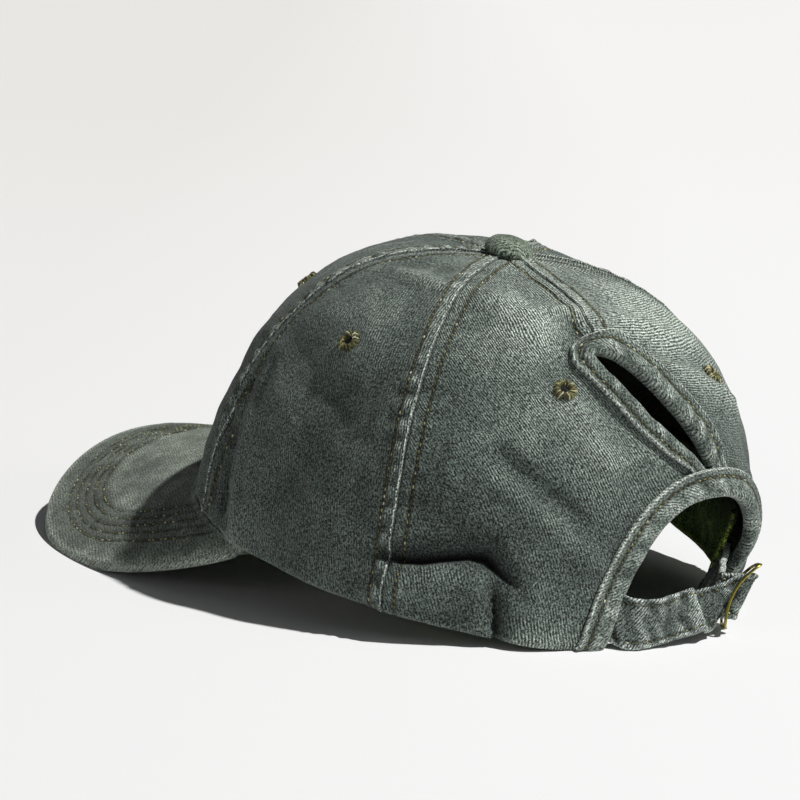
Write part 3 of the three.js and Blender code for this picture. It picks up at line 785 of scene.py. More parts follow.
def resample(path, normals, pitch):
    """Places a pitch apart along a path, with the way along it and the way out of the cloth"""
    run = run_along(path)

    def at(distance):
        place = np.stack([np.interp(distance, run, path[:, axis]) for axis in range(3)], axis=-1)
        out = np.stack([np.interp(distance, run, normals[:, axis]) for axis in range(3)], axis=-1)
        return place, unit(out)

    return np.arange(pitch / 2, run[-1] - pitch / 2, pitch), at


def thread_rings(places, side, out, sizes):
    """Rings of points round the middle lines of threads: thread, ring, side, xyz"""
    turns = np.linspace(0, 2 * math.pi, stitch_sides, endpoint=False)[:, None]
    rings = side[:, :, None] * np.cos(turns) + out[..., None, :] * np.sin(turns)
    return places[:, :, None] + rings * sizes[:, None, None]


def stitch_points(path, normals, seed, length=stitch_length, pitch=stitch_pitch):
    """The rings and the tones of a row of stitches along a path"""
    dice = np.random.default_rng(seed)
    centres, at = resample(path, normals, pitch)
    count = len(centres)
    shares = np.linspace(-1, 1, stitch_rings)
    spans = length / 2 * dice.uniform(0.85, 1.1, count)
    runs = centres[:, None] + shares[None, :] * spans[:, None]
    places, outs = at(runs)
    ahead = unit(at(runs + 0.1)[0] - at(runs - 0.1)[0])
    side = unit(np.cross(outs, ahead))
    bulge = np.sqrt(np.maximum(1 - np.abs(shares) ** 3, 0.03))
    lift = thread_radius * (0.75 - 1.5 * np.abs(shares) ** 3)
    sway = dice.normal(0, 0.07, (count, 1)) * (1 - shares[None, :] ** 2)
    places = places + outs * lift[None, :, None] + side * sway[..., None]
    return thread_rings(places, side, outs, thread_radius * bulge), dice.random(count) ** 1.5


def sew(name, rows):
    """One mesh from rows of stitches, each a pair of ring points and tones"""
    points, tones = (np.concatenate(parts) for parts in zip(*rows))
    count = len(points)
    each = stitch_rings * stitch_sides
    ring, side = np.meshgrid(np.arange(stitch_rings - 1), np.arange(stitch_sides), indexing="ij")
    turn = (side + 1) % stitch_sides
    low, high = ring * stitch_sides, (ring + 1) * stitch_sides
    quads = np.stack([low + side, low + turn, high + turn, high + side], axis=-1).reshape(-1, 4)
    quads = (np.arange(count)[:, None, None] * each + quads[None]).reshape(-1, 4)
    first = np.arange(stitch_sides)[::-1]
    caps = np.stack([first, (stitch_rings - 1) * stitch_sides + np.arange(stitch_sides)])
    caps = (np.arange(count)[:, None, None] * each + caps[None]).reshape(-1, stitch_sides)
    mesh = bpy.data.meshes.new(name)
    mesh.from_pydata((points * mm).reshape(-1, 3).tolist(), [], quads.tolist() + caps.tolist())
    mesh.polygons.foreach_set("use_smooth", np.ones(len(mesh.polygons), bool))
    piece = bpy.data.objects.new(name, mesh)
    bpy.context.scene.collection.objects.link(piece)
    note(piece, "tone", np.repeat(tones, each))
    piece.data.materials.append(thread)
    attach(piece, "root")
    return piece


def face_of_cloth(theta, w):
    """Points on the panels' finished face, and the way out of it"""
    return crown(theta, w, cloth_relief(theta, w)[0]), crown_frame(theta, w)[2]


seam_stitches = []
for row in seam_rows:
    w = np.linspace(*seam_row_ends, 420)
    line = seam_line(row["name"])(w)
    around = girth(line, w)
    if row["name"] == "back":
        clear = w > slit["top"] + seam_row_clear
        w, line, around = w[clear], line[clear], around[clear]
    for side in (-1, 1):
        path, normals = face_of_cloth(line + side * stitch_offset / around, w)
        path[:, 2] = np.maximum(path[:, 2], thread_radius)
        seam_stitches.append(stitch_points(path, normals, row["seed"] * 2 + side))
sew("seam_stitches", seam_stitches)

# Eyelets: vent holes pierced through the cloth and oversewn with olive thread, which goes down
# through the hole and up outside it, over and over round the ring.
eyelet_hole = 1.3
eyelet_reach = 3.7
eyelet_threads = 56
eyelet_rise = 0.8
eyelet_sink = 0.25
eyelet_thread_radius = 0.25
eyelet_lobe = 0.16


def place_frame(theta, w):
    """The finished cloth at one place: the point, then the ways along, up and out of it"""
    theta, w = np.float64(theta), np.float64(w)
    around = unit(crown(theta + 0.05, w) - crown(theta - 0.05, w))
    climb = crown(theta, w + 0.02) - crown(theta, w - 0.02)
    out = unit(np.cross(around, climb))
    return crown(theta, w), around, np.cross(out, around), out


def oversewn_ring(theta, seed):
    """Threads that arch from inside the hole to the cloth round it, and a few loose ones over them"""
    dice = np.random.default_rng(seed)
    centre, along, upward, out = place_frame(theta, eyelet_height)
    shares = np.linspace(-1, 1, stitch_rings)
    turns = np.linspace(0, 2 * math.pi, eyelet_threads, endpoint=False) + dice.normal(0, 0.09, eyelet_threads)
    far = eyelet_reach * dice.uniform(0.88, 1.1, eyelet_threads)[:, None]
    far = far * (1 + eyelet_lobe * np.cos(turns + 1.2))[:, None]
    reach = eyelet_hole + (far - eyelet_hole) * (shares + 1)[None, :] / 2
    twist = dice.normal(0.15, 0.2, eyelet_threads)[:, None] * shares[None, :]
    ways = (
        along * np.cos(turns[:, None] + twist)[..., None]
        + upward * np.sin(turns[:, None] + twist)[..., None]
    )
    rise = eyelet_rise * dice.uniform(0.85, 1.3, eyelet_threads)[:, None]
    arched = np.sqrt(np.maximum(1 - shares ** 4, 0))[None, :]
    height = (rise + eyelet_sink) * arched - eyelet_sink - 0.35 * (shares > 0.9)
    places = centre + ways * reach[..., None] + out * height[..., None]
    sizes = eyelet_thread_radius * np.sqrt(np.maximum(1 - np.abs(shares) ** 4, 0.1))
    return thread_rings(places, np.cross(out, ways), out, sizes), dice.random(eyelet_threads) ** 1.6


for place, angle in eyelet_angles.items():
    for hand, side in (("left", 1), ("right", -1)):
        ring = oversewn_ring(side * math.radians(angle), 300 + int(side * angle))
        piece = sew(f"eyelet_{place}_{hand}_thread", [ring])
        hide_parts(f"eyelet_{place}_{hand}")

# Bill: a stiff board between two cloths, bent down at both sides and sewn into the rim.
# Its edge is a narrow worn band, and rows of stitching run parallel to it.
bill = {"thick": 3, "length": 71, "shoulder_width": 101.8, "fullness": 1.8, "end_angle": 79}
bill_taper = 0.5
bill_tongue = 4
bill_gap = 0.3
bill_seam_rise = 0.8
bill_seam_reach = 0.03
bill_bend = 61.5
bill_droop = math.radians(13.4)
bill_rows = [9.5, 12.7, 15.9, 19.1, 22.3]
bill_columns = 270
bill_rungs = 84
bill_end_share = 0.985
bill_row_sunk = 0.3
bill_corner = 1.3


def bill_sheet(across, reach):
    """The bill's top before it is tilted: across from -1 to 1, reach from the crown to its edge"""
    end = math.radians(bill["end_angle"])
    root_x, root_y, root_z = crown_shape(across * end, np.zeros_like(across))
    corner_x, corner_y, _ = crown_shape(np.array(end), np.array(0.0))
    tip = bill["length"] - crown_shape(np.array(0.0), np.array(0.0))[1] + corner_y
    turn = np.clip((1 - np.abs(across)) * math.pi / 2, 1e-6, math.pi / 2)
    power = 2 / bill["fullness"]
    swell = (bill["shoulder_width"] - corner_x) * np.sin(2 * turn)
    edge_x = np.sign(across) * (corner_x * np.cos(turn) ** power + swell)
    edge_y = corner_y - tip * np.sin(turn) ** power
    x = root_x + (edge_x - root_x) * reach
    y = root_y + (edge_y - root_y) * reach
    bend = bill_bend * (np.cos(root_x / bill_bend) - np.cos(x / bill_bend))
    return x, y, root_z - (root_y - y) * math.tan(bill_droop) - bend


def bill_face(across, reach, share):
    """A point of the bill, share being its depth from the top face (0) to the underside (1)"""
    x, y, z = bill_sheet(across, np.maximum(reach, 0))
    tuck = np.where(reach < 0, bill_tongue, 0) / np.hypot(x, y)
    thick = bill["thick"] * (1 - bill_taper * np.abs(across) ** 10)
    seam = bill_seam_rise * smoothstep(-reach, -bill_seam_reach, 0) * (1 - share)
    return tilted(x * (1 - tuck), y * (1 - tuck), z - bill_gap + seam - share * thick)


# Columns across the bill, closer together toward its ends
column_turn = np.linspace(-0.48, 0.48, bill_columns) * math.pi
bill_across = bill_end_share * np.sin(column_turn) / math.sin(column_turn[-1])
bill_edge = bill_face(bill_across, np.ones_like(bill_across), 0.5 * np.ones_like(bill_across))


def edge_distance(point):
    """Millimetres in from the bill's edge, a little fewer at its sides, where its stitching stands back"""
    nearest = np.full(point.shape[:-1], 1e6)
    for place, across in zip(bill_edge, bill_across):
        back = 1 + 0.22 * smoothstep(abs(across), 0.6, 0.85)
        nearest = np.minimum(nearest, np.linalg.norm(point - place, axis=-1) / back)
    return nearest


def rolled(values, axis=1):
    """Repeats the first row or column after the last, which closes the section"""
    return np.concatenate([values, np.take(values, [0], axis)], axis)


def lay_rolled(name, points, cloth, wear, axis=1):
    """Lays a grid rolled into a closed section, with the cloth and the wear that its twill reads"""
    piece = lay_grid(name, rolled(points, axis))
    note(piece, "cloth", rolled(np.stack(np.broadcast_arrays(*cloth), axis=-1), axis))
    note(piece, "wear", rolled(wear, axis))
    return piece


def finish_closed(piece):
    """Merges a rolled grid along its join, fills its open ends and turns its faces outward"""
    bpy.context.view_layer.objects.active = piece
    bpy.ops.object.mode_set(mode="EDIT")
    bpy.ops.mesh.select_all(action="SELECT")
    bpy.ops.mesh.remove_doubles(threshold=0.002 * mm)
    bpy.ops.mesh.fill_holes(sides=0)
    bpy.ops.mesh.normals_make_consistent(inside=False)
    bpy.ops.object.mode_set(mode="OBJECT")


# Round the bill: out along the top, over the edge, and back underneath
rung = np.linspace(0, 1, bill_rungs)
edge_turn = np.linspace(0, math.pi, 11)[1:-1]
edge_round = squared(np.cos(edge_turn), 0.55)
reaches = np.concatenate([[-1], rung, 1 + 0 * edge_turn, rung[::-1], [-1]])
shares = np.concatenate([0 * rung[:1], 0 * rung, 0.5 - 0.5 * edge_round, 1 + 0 * rung, [1]])
inset = np.concatenate([[0], bill_corner + 0 * rung, bill_corner * (1 - np.sin(edge_turn) ** 0.6),
                        bill_corner + 0 * rung, [0]])
across_grid, reach_grid = np.meshgrid(bill_across, reaches)
share_grid = np.broadcast_to(shares[:, None], across_grid.shape)
lengths = np.linalg.norm(bill_edge - bill_face(bill_across, 0 * bill_across, 0.5 + 0 * bill_across), axis=-1)
limit = 1 - inset[:, None] / np.maximum(lengths, 2 * bill_corner)[None, :]
reach_grid = np.where(reach_grid < 0, -1, reach_grid * limit)
bill_points = bill_face(across_grid, reach_grid, share_grid)
bill_near = edge_distance(bill_points)
bill_out = np.where(share_grid < 0.5, 1, -1)
bill_groove = sum(bump(bill_near, 0.45, row) for row in bill_rows)
bill_puff = 0.14 * crumple(bill_points, 31, 9, 30) + 0.07 * crumple(bill_points, 32, 3, 7)
quilt = smoothstep(bill_near, bill_rows[0] - 1, bill_rows[0] + 1) * smoothstep(-bill_near, -25, -22)
bill_puff += 0.12 * quilt * crumple(bill_points, 33, 3.2, 6)
faces = (share_grid <= 0) | (share_grid >= 1)
bill_lift = np.where(faces & (reach_grid > bill_seam_reach), bill_puff - 0.34 * bill_groove, 0) * bill_out
bill_points[..., 2] += bill_lift
band = np.exp(-np.maximum(bill_near - 2.6, 0) / 0.9)
bill_wear = 1.0 * band - 1.1 * bill_groove + 1.6 * bill_puff - 0.28 * quilt
bill_wear += 0.35 * smoothstep(bill_near, 22, 26)
flat_x, flat_y, _ = bill_sheet(across_grid, np.maximum(reach_grid, 0))
bill_flat = (flat_x, flat_y + bill["thick"] * share_grid, 0 * flat_x)
bill_piece = lay_rolled("bill_cloth", bill_points, bill_flat, bill_wear, 0)
finish_closed(bill_piece)
bill_colours = [(46, 52, 47), (92, 100, 91), (146, 155, 143)]
bill_twill = twill("bill_twill", bill_colours, wale_angle=-32, crisp=0.25)
bill_piece.data.materials.append(bill_twill)
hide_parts("bill")
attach(bill_piece, "root")

# The rows of stitching on the bill, through both of its faces
bill_stitches = []
row_reach = np.linspace(0.02, 0.99, 90)
ladder_across, ladder_reach = np.meshgrid(bill_across, row_reach, indexing="ij")
for face, out in ((0, 1), (1, -1)):
    ladder = bill_face(ladder_across, ladder_reach, face + 0 * ladder_across)
    ladder_near = edge_distance(ladder)
    for number, row in enumerate(bill_rows):
        reach = np.array([np.interp(-row, -near, row_reach) for near in ladder_near])
        inside = ladder_near[:, 0] > row + 0.8
        path = bill_face(bill_across[inside], reach[inside], face + 0 * reach[inside])
        path[:, 2] -= bill_row_sunk * out
        along = unit(np.gradient(path, axis=0))
        inward = unit(bill_face(bill_across[inside], reach[inside] - 0.02, face + 0 * reach[inside]) - path)
        normals = unit(np.cross(along, inward))
        normals *= np.sign(normals[:, 2:]) * out
        points, tones = stitch_points(path, normals, 400 + 10 * face + number, length=1.1, pitch=1.9)
        bill_stitches.append((points, np.where(tones > 0.65, 0.3 + 0.6 * tones, 0.3 * tones)))
sew("bill_stitches", bill_stitches)

# Sweatband: a strip of dark green cotton sewn round the inside of the rim, its two ends left open
# at the arch. It shows through the arch, with soft upright pleats, a brighter lower edge and painted shade
# darkening its upper part.
sweatband = {"end_angle": 155.5, "bottom": 0.012, "top": 0.22, "clear": 1.2, "thick": 1.1}
right_end = {"farther": 2.6, "slant": 3.4, "away": 1.3}
far_hang = 0.026
tuck_push = {"deep": 2.2, "wide": 7}
band_soften = 1.9
band_side, band_climb = np.meshgrid(np.linspace(-1, 1, 420), np.linspace(0, 1, 34))
band_right = smoothstep(-band_side, -0.2, 0.6)
band_end = sweatband["end_angle"] + band_right * (right_end["farther"] + right_end["slant"] * band_climb)
band_theta = np.radians(band_side * band_end)
band_hang = far_hang * smoothstep(-band_theta, 1.5, 1.9) * smoothstep(band_theta, -2.55, -2.3)
band_bottom = sweatband["bottom"] - band_hang
band_w = band_bottom + band_climb * (sweatband["top"] - band_bottom)
band_run = band_theta * rim_waves[0]
band_up = (band_w - band_bottom) * meridian_length
pleats = 0.34 * ripple(band_run, band_up, 51, 5, 13, 0.25) * smoothstep(band_up, 0, 5)
pleats += 0.35 * bump(band_up, 1.2) - 0.3 * bump(band_up, 0.6, 2.6)
band_depth = -twill_thick - sweatband["clear"] - pleats
band_bare = bare_crown(band_theta, band_w)
for tuck in tucks:
    stops = [bare_crown(math.radians(angle), w) for angle, w, _ in tuck["path"]]
    reach = np.min([line_distance(band_bare, *ends) for ends in zip(stops, stops[1:])], axis=0)
    band_depth -= tuck_push["deep"] * bump(reach, tuck_push["wide"])
band_edge = (1 - np.abs(band_side)) * sweatband["end_angle"]
band_depth -= right_end["away"] * band_right * bump(band_edge, 11) * smoothstep(-band_climb, -1, -0.35)
band_points = crown(band_theta, band_w, band_depth, band_soften)
band_piece = lay_grid("sweatband_cloth", band_points)
note(band_piece, "cloth", np.stack([band_run, band_up, 0 * band_up], axis=-1))
band_wear = 1.5 * np.exp(-band_edge / 1.1) + 0.4 * pleats + 0.5 * bump(band_up, 1.3)
note(band_piece, "wear", band_wear)
# Painted shade darkens the band's upper part, which the crown hides from the lamps
note(band_piece, "painted_shade", 0.8 * smoothstep(band_climb, 0.5, 0.95))
thicken(band_piece, sweatband["thick"])
band_colours = [(50, 72, 33), (84, 114, 52), (146, 170, 72)]
band_cotton = twill("sweatband_cotton", band_colours, wale_angle=0, wale=0.8)
band_piece.data.materials.append(band_cotton)
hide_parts("sweatband")
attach(band_piece, "root")

# Bindings: strips of twill folded over the cut edges of the arch and the slit. The outer fold
# stands up in a hard pale ridge, a row of stitching holds it, and the strip puckers inside that row.
binding_edge = 6.8
slit_edge_width = 6.0
binding_steps = 220
binding_row = 4.3
binding_row_height = 1.15

# Round the binding's section: millimetres outside the cut edge, height over the panel's face, how
# far its puckers move it, and how worn it is. The dark of its first row, the foot that meets the
# panel, is painted shade.
binding_section = table("across depth pucker wear", [
    (6.8, 0.15, 0, -0.9),
    (7.0, 0.8, 0, 0.3),
    (6.85, 1.55, 0.1, 0.9),
    (6.4, 1.85, 0.1, 0.8),
    (5.9, 1.5, 0.2, 0.1),
    (5.2, 1.35, 0.2, -0.2),
    (binding_row, 1.05, 0.2, -0.75),
    (3.6, 1.35, 0.6, -0.1),
    (2.6, 1.65, 1, 0.15),
    (1.4, 1.75, 1, 0.1),
    (0.2, 1.7, 0.9, 0.15),
    (-0.8, 1.3, 0.6, 0.5),
    (-1.5, 0.4, 0.4, 0.75),
    (-1.65, -0.7, 0.3, 0.3),
    (-1.4, -2.0, 0.2, 0),
    (-0.6, -2.9, 0.1, 0),
    (1, -3.1, 0, 0),
    (3.5, -3.1, 0, 0),
    (6.2, -3.0, 0, 0),
    (6.6, -2.4, 0, 0),
    (6.2, -1.9, 0, 0),
    (3.5, -1.9, 0, 0),
    (0.3, -1.9, 0, 0),
    (-0.3, -0.7, 0, 0),
    (0.3, 0.4, 0, 0),
    (3.5, 0.4, 0, 0),
    (6.0, 0.35, 0, 0),
])


def beside(theta, w, across):
    """Places so many millimetres beside a path over the crown, level with it at the rim"""
    ahead = np.gradient(bare_crown(theta, w), axis=0)
    around, climb, normal = crown_frame(theta, w)
    level = unit(around) * np.sign(theta - math.radians(arch["middle"]))[:, None]
    blend = smoothstep(w, 0, 0.09)[:, None]
    move = unit(level * (1 - blend) + unit(np.cross(normal, ahead)) * blend)
    pairs = ((around, around), (around, climb), (climb, climb), (move, around), (move, climb))
    a, b, c, p, q = ((first * second).sum(-1) for first, second in pairs)
    turn = (c * p - b * q) / (a * c - b * b)
    rise = (a * q - b * p) / (a * c - b * b)
    return theta[:, None] + turn[:, None] * across, w[:, None] + rise[:, None] * across


def smooth_loop(values, count):
    """A closed run of values, rounded between them"""
    size = len(values)
    steps = np.linspace(0, size, count, endpoint=False)
    index = np.floor(steps).astype(int)
    share = steps - index
    a, b, c, d = (np.asarray(values, float)[(index + shift) % size] for shift in (-1, 0, 1, 2))
    return b + 0.5 * share * (c - a + share * (2 * a - 5 * b + 4 * c - d + share * (3 * (b - c) + d - a)))


def smooth_columns(section, count):
    return {key: smooth_loop([row[key] for row in section], count) for key in section[0]}


def bound_edge(name, node, theta, w, width, wrap, seed, tuck):
    """A binding swept along a cut edge, and its row of stitches. Its width may change along it, wrap
    says how far it stands over the edge, and tuck how flat it is pressed under another binding."""
    width = np.broadcast_to(width, theta.shape)[:, None]
    columns = smooth_columns(binding_section, 96)
    across = columns["across"] * np.where(columns["across"] > 0, width / binding_edge, wrap)
    places = beside(theta, w, across)
    path = bare_crown(theta, w)
    run = run_along(path)[:, None]
    wave = ripple(run, across, seed, 4.5, 13, 0.6)
    sway = 0.35 * ripple(run, 0 * across, seed + 1, 9, 26, 0)
    depth = columns["depth"] + 0.24 * columns["pucker"] * wave + 0.5 * sway * columns["pucker"]
    outside = smoothstep(np.broadcast_to(columns["depth"], depth.shape), 0.1, 0.3)
    depth = depth + (0.2 + 0.08 * columns["depth"] - depth) * tuck[:, None] * outside
    points = crown(places[0], places[1], depth)
    wear = columns["wear"] + 0.5 * columns["pucker"] * wave
    piece = lay_rolled(name, points, (across, run, 0 * run), wear)
    seam = np.where(columns["depth"] > 0.5, across * binding_edge / width, 99)
    note(piece, "seam", rolled(seam))
    finish_closed(piece)
    piece.data.materials.append(binding_twill)
    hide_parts(node)
    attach(piece, "root")
    free = tuck < 0.3
    row_theta, row_w = (values[free, 0] for values in beside(theta, w, binding_row * width / binding_edge))
    row = crown(row_theta, row_w, binding_row_height)
    return stitch_points(row, crown_frame(row_theta, row_w)[2], seed + 2)


binding_lines = table("at width colour strength height", [
    (6.6, 0.32, worn_line, 0.55, 0.8),
    (binding_row, 0.5, thread_stain, 0.5, -1.2),
])
binding_colours = [(56, 63, 59), (106, 116, 109), (166, 175, 167)]
binding_twill = twill("binding_twill", binding_colours, 40, crisp=0.6, fade=1.5, lines=binding_lines)
edge_run = np.linspace(0, 1, binding_steps)
arch_theta, arch_w = arch_edge(0.002 + 0.996 * edge_run)
slit_theta, slit_w = slit_edge(0.008 + 0.984 * edge_run)

# The slit's strip: wider down its right side, fuller near the top of its left side, and narrower
# at its foot, where it is pressed flat under the arch's binding
slit_strip = slit_edge_width * (0.85 + 0.33 * smoothstep(edge_run, 0.45, 0.6))
slit_strip -= 1.4 * smoothstep(-slit_w, -0.42, -0.35)
slit_strip += 1.2 * bump(edge_run, 0.04, 0.42)
slit_tuck = 0.95 * smoothstep(-slit_w, -0.375, -0.345)
binding_stitches = [
    bound_edge("arch_binding_cloth", "arch_binding", arch_theta, arch_w, binding_edge, 1, 61, 0 * edge_run),
    bound_edge("slit_binding_cloth", "slit_binding", slit_theta, slit_w, slit_strip, 0.4, 71, slit_tuck),
]
sew("binding_stitches", binding_stitches)

# Strap and tab: doubled twill with hard worn edges and a row of stitching along each. The strap
# leaves the arch's left foot, crumples on its way round and doubles back through the slide. The
# short tab on the other side holds the slide.
strap_width = 15
strap_row = 0.74
strap_row_height = 0.6
strap_sag = -1.8
slide = {"long": 22, "deep": 11.5, "rail": 1.5, "thick": 0.9, "bow": 3.2, "corner": 1.8}
slide_centre = np.array([-18.4, 96, -2.6]) + stand_at
slide_long = unit(np.array([-0.484, 0.18, 0.86]))
slide_deep = unit(np.array([0.653, 0.726, 0.215]))
slide_face = unit(np.cross(slide_long, slide_deep))
strap_heading = np.array([-0.743, 0.669, 0])


def slide_place(long, deep, face):
    """A place on the bowed slide, by its long way, its deep way and its face"""
    long, deep, face = np.broadcast_arrays(long, deep, face)
    bowed = face - slide["bow"] * (1 - (2 * long / slide["long"]) ** 2)
    return (
        slide_centre
        + slide_long * long[..., None]
        + slide_deep * deep[..., None]
        + slide_face * bowed[..., None]
    )


def inside_crown(angle, depth):
    """A station against the inside of the crown, near its rim: its middle and the way up its width"""
    theta = np.radians(angle)
    low, middle, high = (np.float64(w) for w in (0.01, 0.075, 0.12))
    return crown(theta, middle, depth), unit(crown(theta, high) - crown(theta, low))


def leaning(x, y, z, lean, heading):
    """A station whose top leans so far from upright toward a heading"""
    lean, heading = math.radians(lean), math.radians(heading)
    across = (math.sin(lean) * math.cos(heading), math.sin(lean) * math.sin(heading), math.cos(lean))
    return np.array([x, y, z]) + stand_at, np.array(across)


def in_slide(deep, past):
    """A station low in the slide's opening; past is the way the strap runs through it"""
    return slide_place(strap_sag, deep, 0.0) + strap_heading * past, slide_long


def smooth_run(points, count):
    """A centripetal spline through points, with the same number of steps between each two"""
    points = np.asarray(points)
    ends = [2 * points[0] - points[1], *points, 2 * points[-1] - points[-2]]
    made = []
    for k in np.linspace(0, len(points) - 1, count):
        i = min(int(k), len(points) - 2)
        share = k - i
        p0, p1, p2, p3 = ends[i:i + 4]
        s0, s1, s2 = (max(np.linalg.norm(q - p), 1e-6) ** 0.5 for p, q in ((p0, p1), (p1, p2), (p2, p3)))
        t1 = ((p1 - p0) / s0 - (p2 - p0) / (s0 + s1) + (p2 - p1) / s1) * s1
        t2 = ((p2 - p1) / s1 - (p3 - p1) / (s1 + s2) + (p3 - p2) / s2) * s1
        c2 = -3 * p1 + 3 * p2 - 2 * t1 - t2
        c3 = 2 * p1 - 2 * p2 + t1 + t2
        made.append(p1 + t1 * share + c2 * share ** 2 + c3 * share ** 3)
    return np.array(made)


# Crumples of the strap, by the way along X and the share of its width from its lower edge (-1)
# to its upper one (1). A sharp one drops steeply on the side toward the slide.
strap_crumples = table("name x across width out sharp", [
    ("fold that laps over", (2.5, -5), (1.1, -0.9), 2.6, 1.9, True),
    ("valley before the slide", (-2.5, -8), (1, -0.9), 2, -1.4, False),
    ("long hollow", (14, 5), (0.2, -0.3), 3, -0.9, False),
    ("ridge from the foot", (18, 9), (-0.8, 0.6), 2, 0.7, False),
    ("low pleat", (8, -1), (-0.9, -0.1), 1.2, 0.8, False),
    ("crease by the slide", (-12, -17), (-0.7, 0.5), 1.6, -0.9, False),
])


def strap_relief(x, across):
    place = np.stack(np.broadcast_arrays(x, across), axis=-1)
    total = np.zeros(place.shape[:-1])
    for row in strap_crumples:
        ends = zip(row["x"], np.multiply(row["across"], strap_width / 2))
        _, off = off_line(place, *(np.array(end) for end in ends))
        distance = np.linalg.norm(off, axis=-1)
        steep = np.where(row["sharp"] & (off[..., 0] < 0), 0.35, 1)
        total += row["out"] * bump(distance, row["width"] * steep)
    return total


# Round the strap's section: its edges are a little thicker than its middle
strap_half = table("across depth wear", [
    (1.0, 0.0, 1.3),
    (0.985, 0.75, 1.3),
    (0.91, 1.0, 1.0),
    (0.82, 0.85, 0.2),
    (strap_row, 0.55, -0.7),
    (0.64, 0.7, -0.1),
    (0.35, 0.75, 0),
    (0.0, 0.75, 0),
])
strap_section = strap_half + [dict(row, across=-row["across"]) for row in strap_half[-2::-1]]
strap_back = [dict(row, depth=-row["depth"]) for row in strap_section[-2:0:-1]]


def doubled_band(name, node, stations, steps, seed, crumpled):
    """A doubled band of twill along stations, and the rows of stitches along its two edges"""
    middle = smooth_run([place for place, _ in stations], steps)
    wide = unit(smooth_run([across for _, across in stations], steps))
    along = unit(np.gradient(middle, axis=0))
    out = unit(np.cross(along, wide))
    columns = smooth_columns(strap_section + strap_back, 72)
    across = columns["across"] * strap_width / 2
    run = run_along(middle)[:, None]
    wave = ripple(run, across, seed, 4, 9, 0.6)
    relief = crumpled * (strap_relief(middle[:, :1], across) + 0.2 * wave) + (1 - crumpled) * 0.12 * wave

    def placed(across, depth):
        return middle[:, None] + wide[:, None] * across[..., None] + out[:, None] * depth[..., None]

    points = placed(np.broadcast_to(across, relief.shape), columns["depth"] + relief)
    wear = columns["wear"] + 0.5 * wave + 0.55 * relief * np.sign(columns["depth"])
    piece = lay_rolled(name, points, (across, run, 0 * run), wear)
    finish_closed(piece)
    piece.data.materials.append(strap_twill)
    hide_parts(node)
    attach(piece, "root")
    rows = []
    for number, (edge, face) in enumerate(((1, 1), (-1, 1), (1, -1), (-1, -1))):
        reach = edge * strap_row * strap_width / 2
        wave = ripple(run[:, 0], reach, seed, 4, 9, 0.6)
        lift = crumpled * (strap_relief(middle[:, 0], reach) + 0.2 * wave)
        row = middle + wide * reach + out * (lift + strap_row_height * face)[:, None]
        row[:, 2] = np.maximum(row[:, 2], thread_radius)
        rows.append(stitch_points(row, out * face, seed + number, pitch=2.6))
    return rows


strap_colours = [(50, 58, 54), (92, 101, 96), (162, 171, 165)]
strap_twill = twill("strap_twill", strap_colours, wale_angle=-58)
strap_stations = [
    inside_crown(156, -4.6),
    inside_crown(159.5, -4.7),
    leaning(21.2, 88.2, -6.3, 22, 205),
    leaning(15.2, 91.4, -6.5, 28, 195),
    leaning(9, 92.2, -5.9, 30, 205),
    leaning(2.5, 92.6, -5.4, 38, 220),
    leaning(-4.5, 93.6, -5.2, 44, 220),
    leaning(-9.5, 94.6, -4.6, 38, 210),
    in_slide(2.6, 0),
    in_slide(2.6, 2.2),
    in_slide(1.1, 4.2),
    in_slide(-0.4, 2.2),
    in_slide(-0.4, 0),
    in_slide(-0.9, -6),
]
tab_stations = [
    inside_crown(202.5, -5),
    inside_crown(198, -5),
    inside_crown(190.5, -3.9),
    in_slide(-7.4, -4),
    in_slide(-7.4, 0),
    in_slide(-7.2, 3),
    in_slide(-5.2, 4.8),
    in_slide(-3.1, 3),
    in_slide(-3, 0),
    in_slide(-3.1, -5),
]
band_stitches = doubled_band("strap_cloth", "strap", strap_stations, 240, 81, 1)
band_stitches += doubled_band("strap_tab_cloth", "strap_tab", tab_stations, 150, 91, 0.25)
sew("strap_stitches", band_stitches)

# Slide: a thin frame of antiqued brass, bowed over the strap, its rails rounded all along.
# The strap folds back over one of its rails, and the tab holds the other.


def rounded_frame(long, deep, corner, count):
    """The middle line of the slide's rails, with round corners"""
    points = []
    for turn, (a, b) in enumerate(((1, 1), (-1, 1), (-1, -1), (1, -1))):
        for share in np.linspace(0, 1, count):
            angle = (turn + share) * math.pi / 2
            points.append((
                a * (long / 2 - corner) + corner * math.cos(angle),
                b * (deep / 2 - corner) + corner * math.sin(angle),
            ))
    return np.array(points)


rail_line = rounded_frame(slide["long"] - slide["rail"], slide["deep"] - slide["rail"], slide["corner"], 9)
rail_ends = zip(rail_line, np.roll(rail_line, -1, axis=0))
rail_line = np.concatenate([np.linspace(start, end, 6, endpoint=False) for start, end in rail_ends])
rail_out = np.roll(rail_line, -1, axis=0) - np.roll(rail_line, 1, axis=0)
rail_out = unit(np.stack([rail_out[:, 1], -rail_out[:, 0]], axis=-1))
rail_turn = np.linspace(0, 2 * math.pi, 17)
rail_across = 0.5 * slide["rail"] * squared(np.cos(rail_turn), 0.6)
rail_face = 0.5 * slide["thick"] * squared(np.sin(rail_turn), 0.6)
rail_points = slide_place(
    rail_line[:, :1] + rail_out[:, :1] * rail_across,
    rail_line[:, 1:] + rail_out[:, 1:] * rail_across,
    rail_face[None, :] + 0 * rail_line[:, :1],
)
slide_piece = lay_grid("slide_frame", rolled(rail_points, 0))
finish_closed(slide_piece)
brass = Finish("slide_brass", roughness=0.36, metallic=1.0)
tarnish = brass.noise(brass.place(), 0.5, 4, 0.65)
brass.feed("Base Color", brass.mix(tarnish, dye(112, 104, 48), dye(186, 176, 88)))
brass.feed("Roughness", tarnish * 0.35 + 0.2)
slide_piece.data.materials.append(brass.material)
